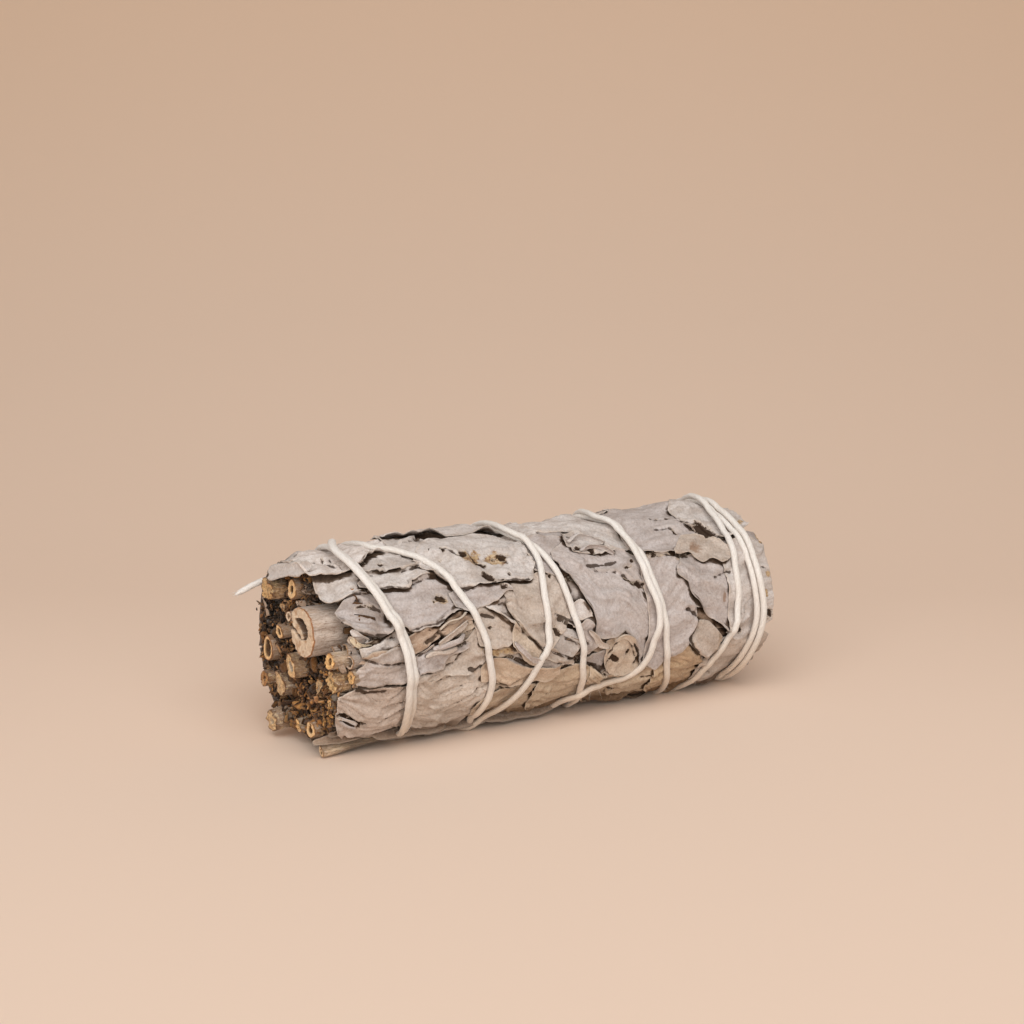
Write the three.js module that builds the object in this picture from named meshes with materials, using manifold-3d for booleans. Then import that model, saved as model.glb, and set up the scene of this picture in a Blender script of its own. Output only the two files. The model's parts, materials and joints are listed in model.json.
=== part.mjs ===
// A sage smudge stick: a bundle of dried leaves with their cut stems at one end, wound with one cotton string that runs
// down the bundle and back. It lies on its side. Millimetres, +Z up, the bundle's axis along X, the cut stems at -X.
import * as THREE from "three";
import { mergeVertices } from "three/addons/utils/BufferGeometryUtils.js";
import Module from "manifold-3d";

// ---- driving dimensions ----
const LEAF_END = 50; // half of the leafy length
const LEAF_RADIUS = 18.5; // mean radius of the leaf surface
const AXIS_Z = 19.0; // height of the bundle's axis over the surface it lies on
const STEM_END_TAPER = 1.2; // how much the radius drops towards the cut stems
const TIP_END_TAPER = 1.0; // and towards the other end
const LEAF_THICKNESS = 0.62; // a felted dry leaf
const LAYER_GAP = 0.3; // air between two pieces
const PACK_DEPTH = 1.9; // how far the crushed inner leaves lie under the leaf surface
const PACK_NEAR_X = -47.6;
const PACK_FAR_X = 48.6;
const STRING_DIAMETER = 1.3;
const STRING_SIDES = 6;
const STRING_STEP = 6.6; // length of one straight facet of the string
const CINCH_DEPTH = 0.75; // how far a turn of string presses the leaves in
const CINCH_WIDTH = 1.9;
const SQUASH_Z = 1.3; // lowest height of the leaf surface, which is flattened by the bundle's own weight
const STEM_LENGTH = 20;
const ORIGIN_SHIFT = [3.312, 0.357, 0]; // puts the frame's origin under the middle of the whole object

// ---- the leaves, bottom ones first: [name, upper edge, lower edge], each edge a list of [x, degrees round the axis].
// 0 degrees faces -Y, 90 is the top and 180 faces +Y.
const LEAVES = [
  ["leaf_back_01", [[-50,104],[-44,92],[-36,92],[-30,100],[-26,112]], [[-50,140],[-44,152],[-36,156],[-30,148],[-26,126]]],
  ["leaf_back_02", [[-49,150],[-42,142],[-34,141],[-27,150],[-23,164]], [[-49,186],[-42,200],[-34,202],[-27,192],[-23,178]]],
  ["leaf_back_03", [[-50,196],[-43,190],[-36,190],[-29,198],[-25,208]], [[-50,232],[-43,246],[-36,250],[-29,240],[-25,222]]],
  ["leaf_back_04", [[-49,246],[-42,238],[-34,240],[-27,250],[-24,260]], [[-49,276],[-42,296],[-34,300],[-27,288],[-24,272]]],
  ["leaf_back_05", [[-30,98],[-22,88],[-12,86],[-4,96],[0,108]], [[-30,122],[-22,136],[-12,140],[-4,132],[0,118]]],
  ["leaf_back_06", [[-28,140],[-20,130],[-10,128],[-2,138],[2,150]], [[-28,168],[-20,184],[-10,188],[-2,178],[2,164]]],
  ["leaf_back_07", [[-30,190],[-22,178],[-12,176],[-3,186],[1,200]], [[-30,216],[-22,236],[-12,240],[-3,230],[1,212]]],
  ["leaf_back_08", [[-28,236],[-20,228],[-10,228],[-2,238],[3,252]], [[-28,270],[-20,290],[-10,294],[-2,284],[3,266]]],
  ["leaf_back_09", [[-3,112],[5,98],[14,94],[22,102],[27,116]], [[-3,140],[5,150],[14,152],[22,144],[27,130]]],
  ["leaf_back_10", [[-1,156],[7,144],[16,142],[24,150],[29,164]], [[-1,184],[7,198],[16,202],[24,192],[29,178]]],
  ["leaf_back_11", [[-2,204],[6,192],[15,190],[23,200],[27,214]], [[-2,232],[6,246],[15,250],[23,240],[27,226]]],
  ["leaf_back_12", [[0,250],[8,240],[17,240],[25,250],[30,262]], [[0,278],[8,294],[17,296],[25,288],[30,274]]],
  ["leaf_back_13", [[21,102],[29,90],[38,88],[45,96],[50,110]], [[21,126],[29,142],[38,146],[45,138],[50,128]]],
  ["leaf_back_14", [[23,150],[31,136],[40,134],[46,142],[50,152]], [[23,176],[31,196],[40,198],[46,190],[50,178]]],
  ["leaf_back_15", [[22,206],[30,192],[39,190],[46,198],[50,208]], [[22,232],[30,246],[39,248],[46,240],[50,232]]],
  ["leaf_back_16", [[24,250],[32,240],[41,238],[47,246],[50,254]], [[24,276],[32,292],[41,296],[47,288],[50,280]]],
  ["leaf_front_01", [[-37,-17],[-34.5,-12],[-31,-12.5],[-28,-10],[-24,-10.5],[-20,-13],[-17.8,-20]], [[-37,-45],[-34,-58],[-29,-63],[-23,-60],[-19,-48],[-17.8,-34]]],
  ["leaf_front_02", [[-21,-36],[-17,-30],[-12,-29],[-8,-30],[-4,-36]], [[-21,-52],[-16,-64],[-10,-66],[-6,-62],[-4,-50]]],
  ["leaf_front_03", [[-8,-32],[-5,-24],[-2,-21],[1,-19],[5,-24],[8,-34]], [[-8,-52],[-4,-66],[2,-68],[6,-62],[8,-48]]],
  ["leaf_front_04", [[4,-22],[8,-30],[12,-34],[16,-30],[21,-32]], [[4,-50],[9,-64],[15,-66],[20,-58],[21,-46]]],
  ["leaf_front_05", [[20,-26],[23,-16],[26,-13],[29,-18],[32,-30],[34,-38]], [[20,-50],[25,-66],[30,-66],[34,-52]]],
  ["leaf_front_06", [[32,-36],[36,-24],[41,-16],[46,-16],[50,-24]], [[32,-52],[38,-66],[44,-66],[50,-52]]],
  ["leaf_front_07", [[-21,-12],[-18.5,-6],[-15,-8],[-12,-14],[-8,-17],[-3,-18]], [[-21,-20],[-17,-24],[-14,-26.5],[-10,-27.5],[-5,-27],[-3,-24]]],
  ["leaf_front_08", [[-36,-8],[-32,-3],[-28,2],[-25,8],[-22,14],[-19.5,14],[-18,6]], [[-36,-12.5],[-33,-13.4],[-31,-13.5],[-28,-11],[-24,-11.8],[-21,-9],[-18,-3]]],
  ["leaf_front_09", [[-4,92],[2,104],[10,106],[18,98],[22,88]], [[-4,74],[1,73],[5,71],[9,66],[12.5,55],[16,50],[22,60]]],
  ["leaf_front_10", [[-50.3,58],[-47,64],[-43,64],[-40,58]], [[-50,48],[-48.5,45],[-46,46],[-43,48],[-40,50]]],
  ["leaf_front_11", [[-48.5,38],[-46,46],[-42,47],[-39.5,40],[-38,32]], [[-48.5,32],[-46.5,26],[-44.8,20],[-42,17],[-40,19],[-38,24]]],
  ["leaf_front_12", [[-37,2],[-34,5],[-32,9],[-28,9],[-25.5,8],[-24,6]], [[-37,-6],[-35,-9],[-31.5,-7],[-28,-1],[-26,2],[-24,4]]],
  ["leaf_front_13", [[-47,-1],[-44,7],[-38,9],[-35,2]], [[-47,-10],[-45,-14],[-42,-14.5],[-38,-13],[-35,-9]]],
  ["leaf_front_14", [[-50,-18],[-47,-14],[-42,-13],[-38,-14],[-36,-20]], [[-49.5,-36],[-48,-50],[-44,-62],[-39,-64],[-36,-50]]],
  ["leaf_front_15", [[-40,40],[-37,50],[-30,52],[-25,50],[-22,40],[-21,32]], [[-40,26],[-37,22],[-35.5,17.5],[-33,18.5],[-30,19],[-28,22.5],[-26.5,25],[-23,26],[-21,28]]],
  ["leaf_front_16", [[-43,54],[-40,60],[-34,62],[-29,60],[-25,54]], [[-43,49],[-39.5,46.5],[-37,45],[-33.8,43],[-33.2,47],[-31,49],[-27,49.5],[-25,50]]],
  ["leaf_front_17", [[-42,66],[-38,78],[-34,76],[-31,68],[-29,61]], [[-42,58],[-39,58.5],[-36,57.5],[-33.5,57],[-30.5,58.5],[-29,60]]],
  ["leaf_front_18", [[-51,96],[-44,108],[-36,106],[-30,98],[-27,88]], [[-51,66],[-48,63],[-45,62],[-42,64],[-38,72],[-33,76],[-27,82]]],
  ["leaf_front_19", [[-22.5,16],[-21.5,24],[-18.5,27],[-16.5,20],[-14,13],[-12.5,8]], [[-22,4],[-19,1],[-16,1],[-14,3],[-12.5,6]]],
  ["leaf_front_20", [[-16,34],[-13,40],[-8,42],[-3,44],[0,42]], [[-15.5,28],[-15,20],[-13.5,14],[-12,8],[-10,1.5],[-8.5,-3.5],[-5,0],[-1.5,10],[0,26]]],
  ["leaf_front_21", [[-31,62],[-26,78],[-18,82],[-11,78],[-6,68]], [[-30,54],[-26,44],[-23.5,39.5],[-18.5,38],[-14,38],[-11,37],[-8,38],[-6,48]]],
  ["leaf_front_22", [[-1,56],[3,62],[8,60],[13,54],[18,46],[20,36]], [[-1.5,47],[0.3,38],[1.8,28],[2.8,18],[3.6,8],[4.8,-3],[8,-3.5],[11,-2],[13,-8],[15.5,-18],[16.5,-27],[18.5,-28],[20,-10]]],
  ["leaf_front_23", [[17,36],[20,42],[24,42],[26,38],[27.5,30]], [[17,-26],[20,-32],[24,-24],[27,-14],[28.5,2],[27.8,14]]],
  ["leaf_front_24", [[25,32],[28,40],[32,41],[36,40],[39,36],[41,26]], [[24.8,27],[27,23],[27.8,14],[29,10],[30,5],[31.5,0],[35,-7],[37,-12],[40,-4],[41,12]]],
  ["leaf_front_25", [[17,88],[22,100],[30,102],[36,92],[38,80]], [[17,52],[20,44],[25,42.5],[29,43],[32,48],[36,60],[38,72]]],
  ["leaf_front_26", [[37,34],[41,46],[46,48],[50,40]], [[37,-14],[40,-20],[45,-18],[50,-12]]],
  ["leaf_front_27", [[33,84],[38,98],[44,100],[50,88]], [[33,62],[36,54],[40,50],[45,52],[50,62]]],
  ["leaf_front_28", [[26,44],[30,54],[35,54],[39,48],[41,42]], [[26,40.5],[30,40.5],[32,34],[34.5,34.5],[37,31.5],[39,34],[41,38]]],
];

// ---- the string's route from its knot, down the bundle and back: [x, degrees round the axis], the degrees falling by a
// turn each time round. Turns that cross an earlier one pass over it. ----
const ROUTE = [
  [-42.6,110],[-43.1,80],[-42.0,60],[-40.0,40],[-37.75,20],[-36.2,0],[-35.4,-20],[-34.5,-40],[-33.2,-60],[-31.5,-80],[-31.3,-105],[-34,-150],[-36.5,-200],[-37.5,-240],
  [-36.25,-275],[-33,-285],[-29.7,-295],[-27,-305],[-24.7,-320],[-22.1,-340],[-20.1,-360],[-18.5,-380],[-19.1,-400],[-19.5,-413],[-18.6,-422],[-17.0,-434],[-15.6,-455],[-14.6,-480],[-12.3,-520],[-9.3,-560],
  [-6.7,-643],[-4.4,-655],[-1.9,-680],[-0.95,-700],[0.56,-720],[2.0,-740],[3.5,-760],[5.5,-790],[8.5,-830],[11.5,-880],[14,-930],
  [15.2,-988],[16.8,-1010],[18.1,-1030],[18.8,-1050],[20.0,-1068],[20.8,-1080],[22.1,-1100],[24.2,-1120],[26.8,-1140],[28.0,-1158],[28.6,-1180],[30.6,-1200],[34,-1225],[38,-1260],[41,-1310],
  [42.7,-1365],[43.2,-1380],[43.7,-1410],[44.3,-1440],[44.0,-1460],[43.4,-1480],[42.6,-1530],[43.2,-1600],[44.2,-1680],
  [44.6,-1725],[45.0,-1750],[45.3,-1780],[45.8,-1800],[45.5,-1820],[45.0,-1840],[44.4,-1890],[43.4,-1980],[42.6,-2040],
  [41.0,-2079],[40.6,-2110],[40.1,-2130],[39.5,-2150],[39.0,-2160],[37.4,-2180],[34.4,-2202],[32.4,-2220],[31.4,-2245],[30.2,-2265],[27.2,-2285],[21.6,-2335],[17.5,-2390],
  [14.3,-2435],[15.3,-2450],[16.5,-2470],[17.2,-2490],[18.0,-2505],[18.6,-2512],[18.9,-2520],[18.1,-2540],[16.5,-2550],[12.4,-2558],[3.8,-2563],[0,-2590],[-3,-2630],[-5.7,-2690],[-7.4,-2740],
  [-7.6,-2800],[-6.0,-2812],[-4.9,-2830],[-6.15,-2850],[-6.6,-2870],[-7.0,-2880],[-8.4,-2890],[-10.7,-2910],[-14.1,-2930],[-15.6,-2937],[-17.8,-2944],[-19.9,-2953],[-21.4,-2970],[-23.4,-2990],[-30,-3040],[-37,-3100],[-41.6,-3140],
  [-44.6,-3160],[-43.6,-3180],[-42.6,-3190],[-41.6,-3200],[-39.3,-3220],[-37.8,-3240],[-37.0,-3260],[-36.1,-3280],[-34.9,-3300],[-33.6,-3325],[-34.4,-3360],[-37,-3400],[-40,-3440],
];
const KNOT = [-42.4, 143]; // where both ends are tied
const TAIL_TIP = [-56.4, 16.2, 27.0]; // the loose end of the string

// ---- the stems: [name, end x, end y, end z, half width, half height, bore radius, inward slope in y, in z, length] ----
const STEMS = [
  ["stem_curled", -52.60, -6.61, 24.12, 4.3, 4.4, 2.0, 0.0, 0.0, 22, true],
  ["stem_02", -52.20, 10.54, 28.88, 2.6, 2.3, 0.0, -0.02, -0.05, 20],
  ["stem_03", -50.60, 2.20, 30.21, 2.0, 1.8, 0.7, 0.0, -0.03, 20],
  ["stem_04", -51.00, 7.84, 20.81, 1.6, 1.45, 0.7, 0.0, 0.0, 18],
  ["stem_05", -51.60, 12.24, 16.58, 2.3, 2.4, 1.5, -0.02, 0.02, 20],
  ["stem_06", -51.60, 1.27, 15.54, 2.2, 2.5, 0.9, 0.0, 0.0, 20],
  ["stem_07", -52.20, 12.88, 10.44, 1.7, 1.5, 0.5, -0.03, 0.03, 18],
  ["stem_08", -51.40, 7.37, 10.70, 2.4, 2.6, 0.0, 0.0, 0.0, 20],
  ["stem_09", -50.90, -14.89, 20.38, 1.6, 1.5, 0.6, 0.03, 0.0, 18],
  ["stem_10", -50.00, -13.68, 15.99, 2.2, 2.2, 0.0, 0.03, 0.0, 18],
  ["stem_11", -53.20, 7.47, 3.48, 2.1, 2.2, 0.6, -0.06, 0.16, 18],
  ["stem_12", -50.40, 1.24, 3.75, 1.5, 1.35, 0.6, 0.0, 0.05, 18],
  ["stem_13", -50.80, -5.38, 4.85, 1.7, 1.6, 0.7, 0.02, 0.05, 18],
  ["stem_splayed", -49.95, -8.11, 1.20, 1.15, 1.1, 0.5, 0.0, 0.09, 21],
];

const wasm = await Module();
wasm.setup();
const rad = THREE.MathUtils.degToRad;
const clamp01 = (t) => Math.min(1, Math.max(0, t));

// ---- solids ----
function solid(geometry) {
  const g = geometry.clone();
  for (const name of Object.keys(g.attributes))
    if (name !== "position") g.deleteAttribute(name);
  const m = mergeVertices(g, 1e-4);
  const made = new wasm.Manifold(
    new wasm.Mesh({
      numProp: 3,
      vertProperties: new Float32Array(m.attributes.position.array),
      triVerts: new Uint32Array(m.index.array),
    }),
  );
  if (made.volume() >= 0) return made;
  const idx = m.index.array;
  for (let i = 0; i < idx.length; i += 3)
    [idx[i + 1], idx[i + 2]] = [idx[i + 2], idx[i + 1]];
  return solid(m);
}

function geometryOf(manifold) {
  const mesh = manifold.getMesh();
  const p = new Float32Array(mesh.numVert * 3);
  for (let i = 0; i < mesh.numVert; i++)
    p.set(
      mesh.vertProperties.subarray(i * mesh.numProp, i * mesh.numProp + 3),
      i * 3,
    );
  const g = new THREE.BufferGeometry();
  g.setAttribute("position", new THREE.BufferAttribute(p, 3));
  g.setIndex(new THREE.BufferAttribute(mesh.triVerts, 1));
  g.computeVertexNormals();
  return g;
}

// the largest piece of a solid that a cut has parted
function largest(s) {
  const bodies = s.decompose();
  let best = bodies[0];
  for (const b of bodies) if (b.volume() > best.volume()) best = b;
  return best;
}

// a repeatable number in [0, 1)
let seed = 20231;
function rnd() {
  seed = (seed * 16807) % 2147483647;
  return (seed - 1) / 2147483646;
}

// ---- the bundle's surface ----
const leafRadius = (x) =>
  LEAF_RADIUS -
  STEM_END_TAPER * Math.pow(clamp01((-36 - x) / 14), 1.5) -
  TIP_END_TAPER * Math.pow(clamp01((x - 44) / 6), 1.5);

const route = [];
{
  const curve = new THREE.CatmullRomCurve3(
    ROUTE.map(([x, t]) => new THREE.Vector3(x, t / 3, 0)),
    false,
    "centripetal",
  );
  const fine = curve.getPoints(6000);
  let last = 1e9;
  for (const p of fine) {
    const t = p.y * 3;
    if (last - t < 2 && route.length) continue;
    last = t;
    route.push([p.x, t]);
  }
}
const wrap = (d) => ((((d + 180) % 360) + 360) % 360) - 180;

// how far the surface is pressed in at x, t: under the string, over the splayed stem, and flat below
const GX = 0.5,
  GT = 2;
const NX = Math.round(2 * 54 / GX) + 1,
  NT = 360 / GT;
const press = new Float32Array(NX * NT);
const at = (i, j) => i * NT + (((j % NT) + NT) % NT);
for (const [x, t] of route) {
  const i0 = Math.round((x + 54) / GX),
    j0 = Math.round(t / GT);
  for (let i = Math.max(0, i0 - 8); i <= Math.min(NX - 1, i0 + 8); i++)
    for (let j = j0 - 7; j <= j0 + 7; j++) {
      const dx = -54 + i * GX - x,
        dt = rad(wrap(j * GT - t)) * LEAF_RADIUS;
      const under = Math.sin(rad(j * GT)) < -0.85 ? 0.4 : 1; // the weight holds the string up there
      const v =
        under * CINCH_DEPTH * Math.exp(-(dx * dx + dt * dt) / (CINCH_WIDTH * CINCH_WIDTH));
      const k = at(i, j);
      press[k] = Math.max(press[k], v);
    }
}
function sample(map, x, t) {
  const fi = Math.min(NX - 1.001, Math.max(0, (x + 54) / GX)),
    fj = t / GT;
  const i = Math.floor(fi),
    j = Math.floor(fj),
    a = fi - i,
    b = fj - j;
  return (
    map[at(i, j)] * (1 - a) * (1 - b) +
    map[at(i + 1, j)] * a * (1 - b) +
    map[at(i, j + 1)] * (1 - a) * b +
    map[at(i + 1, j + 1)] * a * b
  );
}
function surfaceDrop(x, t) {
  const s = Math.sin(rad(t));
  let flat = 0;
  if (s < -0.3) {
    const over = leafRadius(x) - (AXIS_Z - SQUASH_Z) / -s;
    flat = over > 0.5 ? over : over > -0.5 ? ((over + 0.5) * (over + 0.5)) / 2 : 0;
  }
  const d = Math.hypot(
    0,
    rad(wrap(t + 66)) * LEAF_RADIUS,
  );
  const splay =
    1.5 * Math.exp(-(d * d) / 5) * clamp01((-27 - x) / 6);
  return { flat: flat + splay, all: sample(press, x, t) + flat + splay };
}
// radius of a point that lies h above the crushed inner leaves
const radiusAt = (x, t, h) => leafRadius(x) - PACK_DEPTH - surfaceDrop(x, t).all + h;
function onBundle(x, t, h, out = new THREE.Vector3()) {
  const r = radiusAt(x, t, h);
  return out.set(x, -r * Math.cos(rad(t)), AXIS_Z + r * Math.sin(rad(t)));
}

// ---- stems ----
function stemGeometry(half, height, bore, length, curl) {
  if (curl) {
    // a curled stem: a thick strip rolled into a C, open at one side
    const shape = new THREE.Shape();
    const n = 18,
      from = rad(-150),
      to = rad(165);
    const outer = [],
      inner = [];
    for (let i = 0; i <= n; i++) {
      const a = from + ((to - from) * i) / n;
      const k = 1 - 0.1 * (i / n);
      outer.push([half * k * Math.cos(a), height * k * Math.sin(a)]);
      inner.push([bore * k * Math.cos(a) + 0.3, bore * 1.3 * k * Math.sin(a)]);
    }
    const loop = [...outer, ...inner.reverse()];
    loop.forEach(([a, b], i) => (i ? shape.lineTo(a, b) : shape.moveTo(a, b)));
    shape.closePath();
    const g = new THREE.ExtrudeGeometry(shape, {
      depth: length,
      bevelEnabled: false,
      steps: 2,
    });
    return g;
  }
  const p = [];
  const e = Math.min(0.25, half * 0.12);
  if (bore > 0.25) {
    p.push([0, 3.2], [bore * 0.8, 3], [bore, e * 0.6], [bore + e, 0]);
  } else p.push([0, 0.15]);
  p.push([1 - e / half, 0], [1, e], [0.97, length * 0.5], [0.86, length - 1], [0.4, length], [0, length]);
  const k = bore > 0.25 ? 4 : 1;
  const pts = p.map(([r, z], i) => new THREE.Vector2(i < k ? r / half : r, z));
  const g = new THREE.LatheGeometry(pts, 12);
  g.rotateX(Math.PI / 2); // the axis from Y to Z
  const q = g.attributes.position;
  for (let i = 0; i < q.count; i++) {
    q.setXY(i, q.getX(i) * half, q.getY(i) * height);
  }
  return g;
}
function placeStem(g, [, x, y, z, , , , sy, sz]) {
  const dir = new THREE.Vector3(1, sy, sz).normalize();
  const up = new THREE.Vector3(0, 0, 1);
  const side = new THREE.Vector3().crossVectors(up, dir).normalize();
  const top = new THREE.Vector3().crossVectors(dir, side);
  const m = new THREE.Matrix4().makeBasis(side, top, dir);
  m.setPosition(x, y, z);
  return g.clone().applyMatrix4(m);
}

const pieces = []; // { name, solid, colour, roughness }
const stemSolids = [];
const stemClear = [];
for (const s of STEMS) {
  const [name, , , , half, height, bore, , , length, curl] = s;
  stemSolids.push([name, solid(placeStem(stemGeometry(half, height, bore, length, curl), s))]);
  const g = LAYER_GAP + 0.02;
  const plug = new THREE.CylinderGeometry(1, 0.94, length + 4 * g, 10);
  plug.rotateX(-Math.PI / 2);
  plug.translate(0, 0, length / 2);
  plug.scale(1, 1, 1);
  const q = plug.attributes.position;
  for (let i = 0; i < q.count; i++)
    q.setXY(
      i,
      q.getX(i) * (half / Math.cos(Math.PI / 10) + g),
      q.getY(i) * (height / Math.cos(Math.PI / 10) + g),
    );
  stemClear.push(solid(placeStem(plug, s)));
}

// ---- leaves, stacked from the bottom up on a running height map, which starts on the stems ----
const height = new Float32Array(NX * NT);
for (const [, x, y, z, half, tall, , sy, sz, length] of STEMS)
  for (let l = 0; l <= length; l += 0.4)
    for (let a = 0; a < 360; a += 10) {
      const px = x + l,
        py = y + sy * l + half * Math.cos(rad(a)),
        pz = z + sz * l + tall * Math.sin(rad(a)) - AXIS_Z;
      const t = THREE.MathUtils.radToDeg(Math.atan2(pz, -py));
      const h = Math.min(Math.hypot(py, pz) - radiusAt(px, t, 0), 2.4);
      const k = at(Math.round((px + 54) / GX), Math.round(t / GT));
      height[k] = Math.max(height[k], h);
    }
function alongLine(line, u) {
  const len = [0];
  for (let i = 1; i < line.length; i++)
    len.push(
      len[i - 1] +
        Math.hypot(
          line[i][0] - line[i - 1][0],
          rad(line[i][1] - line[i - 1][1]) * LEAF_RADIUS,
        ),
    );
  const want = u * len[len.length - 1];
  let i = 1;
  while (i < line.length - 1 && len[i] < want) i++;
  const k = (want - len[i - 1]) / (len[i] - len[i - 1]);
  return [
    line[i - 1][0] + (line[i][0] - line[i - 1][0]) * k,
    line[i - 1][1] + (line[i][1] - line[i - 1][1]) * k,
  ];
}
function leafPoint(upper, lower, u, v) {
  const a = alongLine(upper, clamp01(u)),
    b = alongLine(lower, clamp01(u));
  return [a[0] + (b[0] - a[0]) * v, a[1] + (b[1] - a[1]) * v];
}
const NU = 6,
  NV = 3;
const leafSolids = [];
for (const [name, upper, lower] of LEAVES) {
  const ripple = rnd() * 6;
  // the base height at each point of the leaf's own grid
  const base = [],
    where = [];
  for (let i = 0; i <= NU; i++)
    for (let j = 0; j <= NV; j++) {
      const [x, t] = leafPoint(upper, lower, i / NU, j / NV);
      where.push([x, t]);
      let top = 0;
      for (let dx = -1.5; dx <= 1.5; dx += 0.5)
        for (let dt = -6; dt <= 6; dt += 2)
          top = Math.max(top, height[at(Math.min(NX - 1, Math.max(0, Math.round((x + dx + 54) / GX))), Math.round((t + dt) / GT))]);
      base.push(top);
    }
  // one pass of smoothing that never goes below a neighbour's half
  const smooth = base.map((b, k) => {
    const i = Math.floor(k / (NV + 1)),
      j = k % (NV + 1);
    let s = 0,
      n = 0;
    for (let di = -1; di <= 1; di++)
      for (let dj = -1; dj <= 1; dj++) {
        const ii = i + di,
          jj = j + dj;
        if (ii < 0 || jj < 0 || ii > NU || jj > NV) continue;
        s += base[ii * (NV + 1) + jj];
        n++;
      }
    return Math.max(b * 0.8 + (0.2 * s) / n, s / n);
  });
  const make = (grow) => {
    const g = new THREE.BoxGeometry(NU, NV, 1, NU, NV, 1);
    const q = g.attributes.position,
      v3 = new THREE.Vector3();
    for (let k = 0; k < q.count; k++) {
      const i = Math.round(q.getX(k) + NU / 2),
        j = Math.round(q.getY(k) + NV / 2),
        top = q.getZ(k) > 0;
      const n = i * (NV + 1) + j;
      let [x, t] = where[n];
      if (grow) {
        const [mx, mt] = leafPoint(upper, lower, 0.5, 0.5);
        const ex = i === 0 ? -1 : i === NU ? 1 : 0,
          turn = upper[1][1] > lower[1][1] ? 1 : -1,
          ej = j === 0 ? turn : j === NV ? -turn : 0;
        x += ex * 0.4 + (ej ? Math.sign(x - mx) * 0.05 : 0);
        t += (ej * 0.45 * 180) / (Math.PI * LEAF_RADIUS);
      }
      const edge = j === 0 || j === NV || i === 0 || i === NU;
      const lift = 0.12 * Math.sin(i * 1.9 + ripple + j * 2.3);
      const b = Math.min(smooth[n], 2.0) + LAYER_GAP + lift + (edge ? 0.05 : 0.12);
      const thick = edge ? LEAF_THICKNESS * 0.75 : LEAF_THICKNESS;
      const h = top ? b + thick + grow : b - grow;
      onBundle(x, t, h, v3);
      q.setXYZ(k, v3.x, v3.y, v3.z);
    }
    return g;
  };
  leafSolids.push([name, solid(make(0)), make(LAYER_GAP + 0.05)]);
  // raise the map over this leaf
  for (let i = 0; i <= NU * 4; i++)
    for (let j = 0; j <= NV * 6; j++) {
      const u = i / (NU * 4),
        v = j / (NV * 6);
      const [x, t] = leafPoint(upper, lower, u, v);
      const fi = u * NU,
        fj = v * NV;
      const i0 = Math.min(NU - 1, Math.floor(fi)),
        j0 = Math.min(NV - 1, Math.floor(fj));
      const a = fi - i0,
        b = fj - j0;
      const s = (ii, jj) => Math.min(smooth[ii * (NV + 1) + jj], 2.0);
      const h =
        s(i0, j0) * (1 - a) * (1 - b) +
        s(i0 + 1, j0) * a * (1 - b) +
        s(i0, j0 + 1) * (1 - a) * b +
        s(i0 + 1, j0 + 1) * a * b +
        LAYER_GAP +
        0.1 +
        LEAF_THICKNESS;
      const k = at(Math.round((x + 54) / GX), Math.round(t / GT));
      height[k] = Math.max(height[k], h);
    }
}

// ---- the string ----
const stringTop = (x, t) => {
  let r = 0;
  for (let dx = -1; dx <= 1; dx += 0.5)
    for (let dt = -4; dt <= 4; dt += 2)
      r = Math.max(r, radiusAt(x + dx, t + dt, height[at(Math.round((x + dx + 54) / GX), Math.round((t + dt) / GT))]));
  return r;
};
const R_STRING = STRING_DIAMETER / 2;
// sections closer together where the route turns sharply
const sections = [];
for (let k = 0; k < route.length; k++) {
  const [x, t] = route[k];
  if (sections.length && k < route.length - 1) {
    const [lx, lt] = sections[sections.length - 1];
    const d = Math.hypot(x - lx, rad(t - lt) * LEAF_RADIUS);
    if (d < STRING_STEP) continue;
  }
  sections.push([x, t]);
}
let rs = sections.map(([x, t]) => stringTop(x, t) + LAYER_GAP * 0.4 + R_STRING * 0.92);
for (let pass = 0; pass < 2; pass++)
  rs = rs.map((r, i) => Math.max(r * 0.5, (rs[Math.max(0, i - 1)] + 2 * r + rs[Math.min(rs.length - 1, i + 1)]) / 4));
// a later turn climbs over an earlier one
const dist = (a, b) =>
  Math.hypot(a[0] - b[0], rad(wrap(a[1] - b[1])) * LEAF_RADIUS);
const climb = sections.map(() => 0);
for (let i = 0; i < sections.length; i++)
  for (let k = 0; k < route.length; k += 2) {
    if (route[k][1] - sections[i][1] < 200) continue;
    const d = dist(sections[i], route[k]);
    if (d < 4.4) {
      const need = 1.62 * (d < 1.1 ? 1 : clamp01((2.9 - d) / 1.8));
      climb[i] = Math.max(climb[i], need);
    }
  }
const path = sections.map(([x, t], i) => {
  let r = rs[i] + climb[i];
  const s = Math.sin(rad(t));
  // flattened against the surface below
  if (s < -0.5) r = Math.min(r, (AXIS_Z - 0.47) / -s);
  if (s < -0.968) r = (AXIS_Z - 0.47) / -s;
  return new THREE.Vector3(x, -r * Math.cos(rad(t)), AXIS_Z + r * s);
});
function tube(points, radius, sides) {
  // an extruded section, its frames kept square to the surface below it
  const shape = new THREE.Shape();
  for (let i = 0; i < sides; i++) {
    const a = ((i + 0.5) / sides) * Math.PI * 2;
    const x = Math.cos(a) * radius,
      y = Math.sin(a) * radius;
    if (i) shape.lineTo(x, y);
    else shape.moveTo(x, y);
  }
  shape.closePath();
  const curve = new THREE.CatmullRomCurve3(points, false, "centripetal");
  curve.arcLengthDivisions = points.length * 12;
  return new THREE.ExtrudeGeometry(shape, {
    steps: Math.max(4, Math.round(curve.getLength() / STRING_STEP)),
    extrudePath: curve,
    bevelEnabled: false,
  });
}

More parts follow.
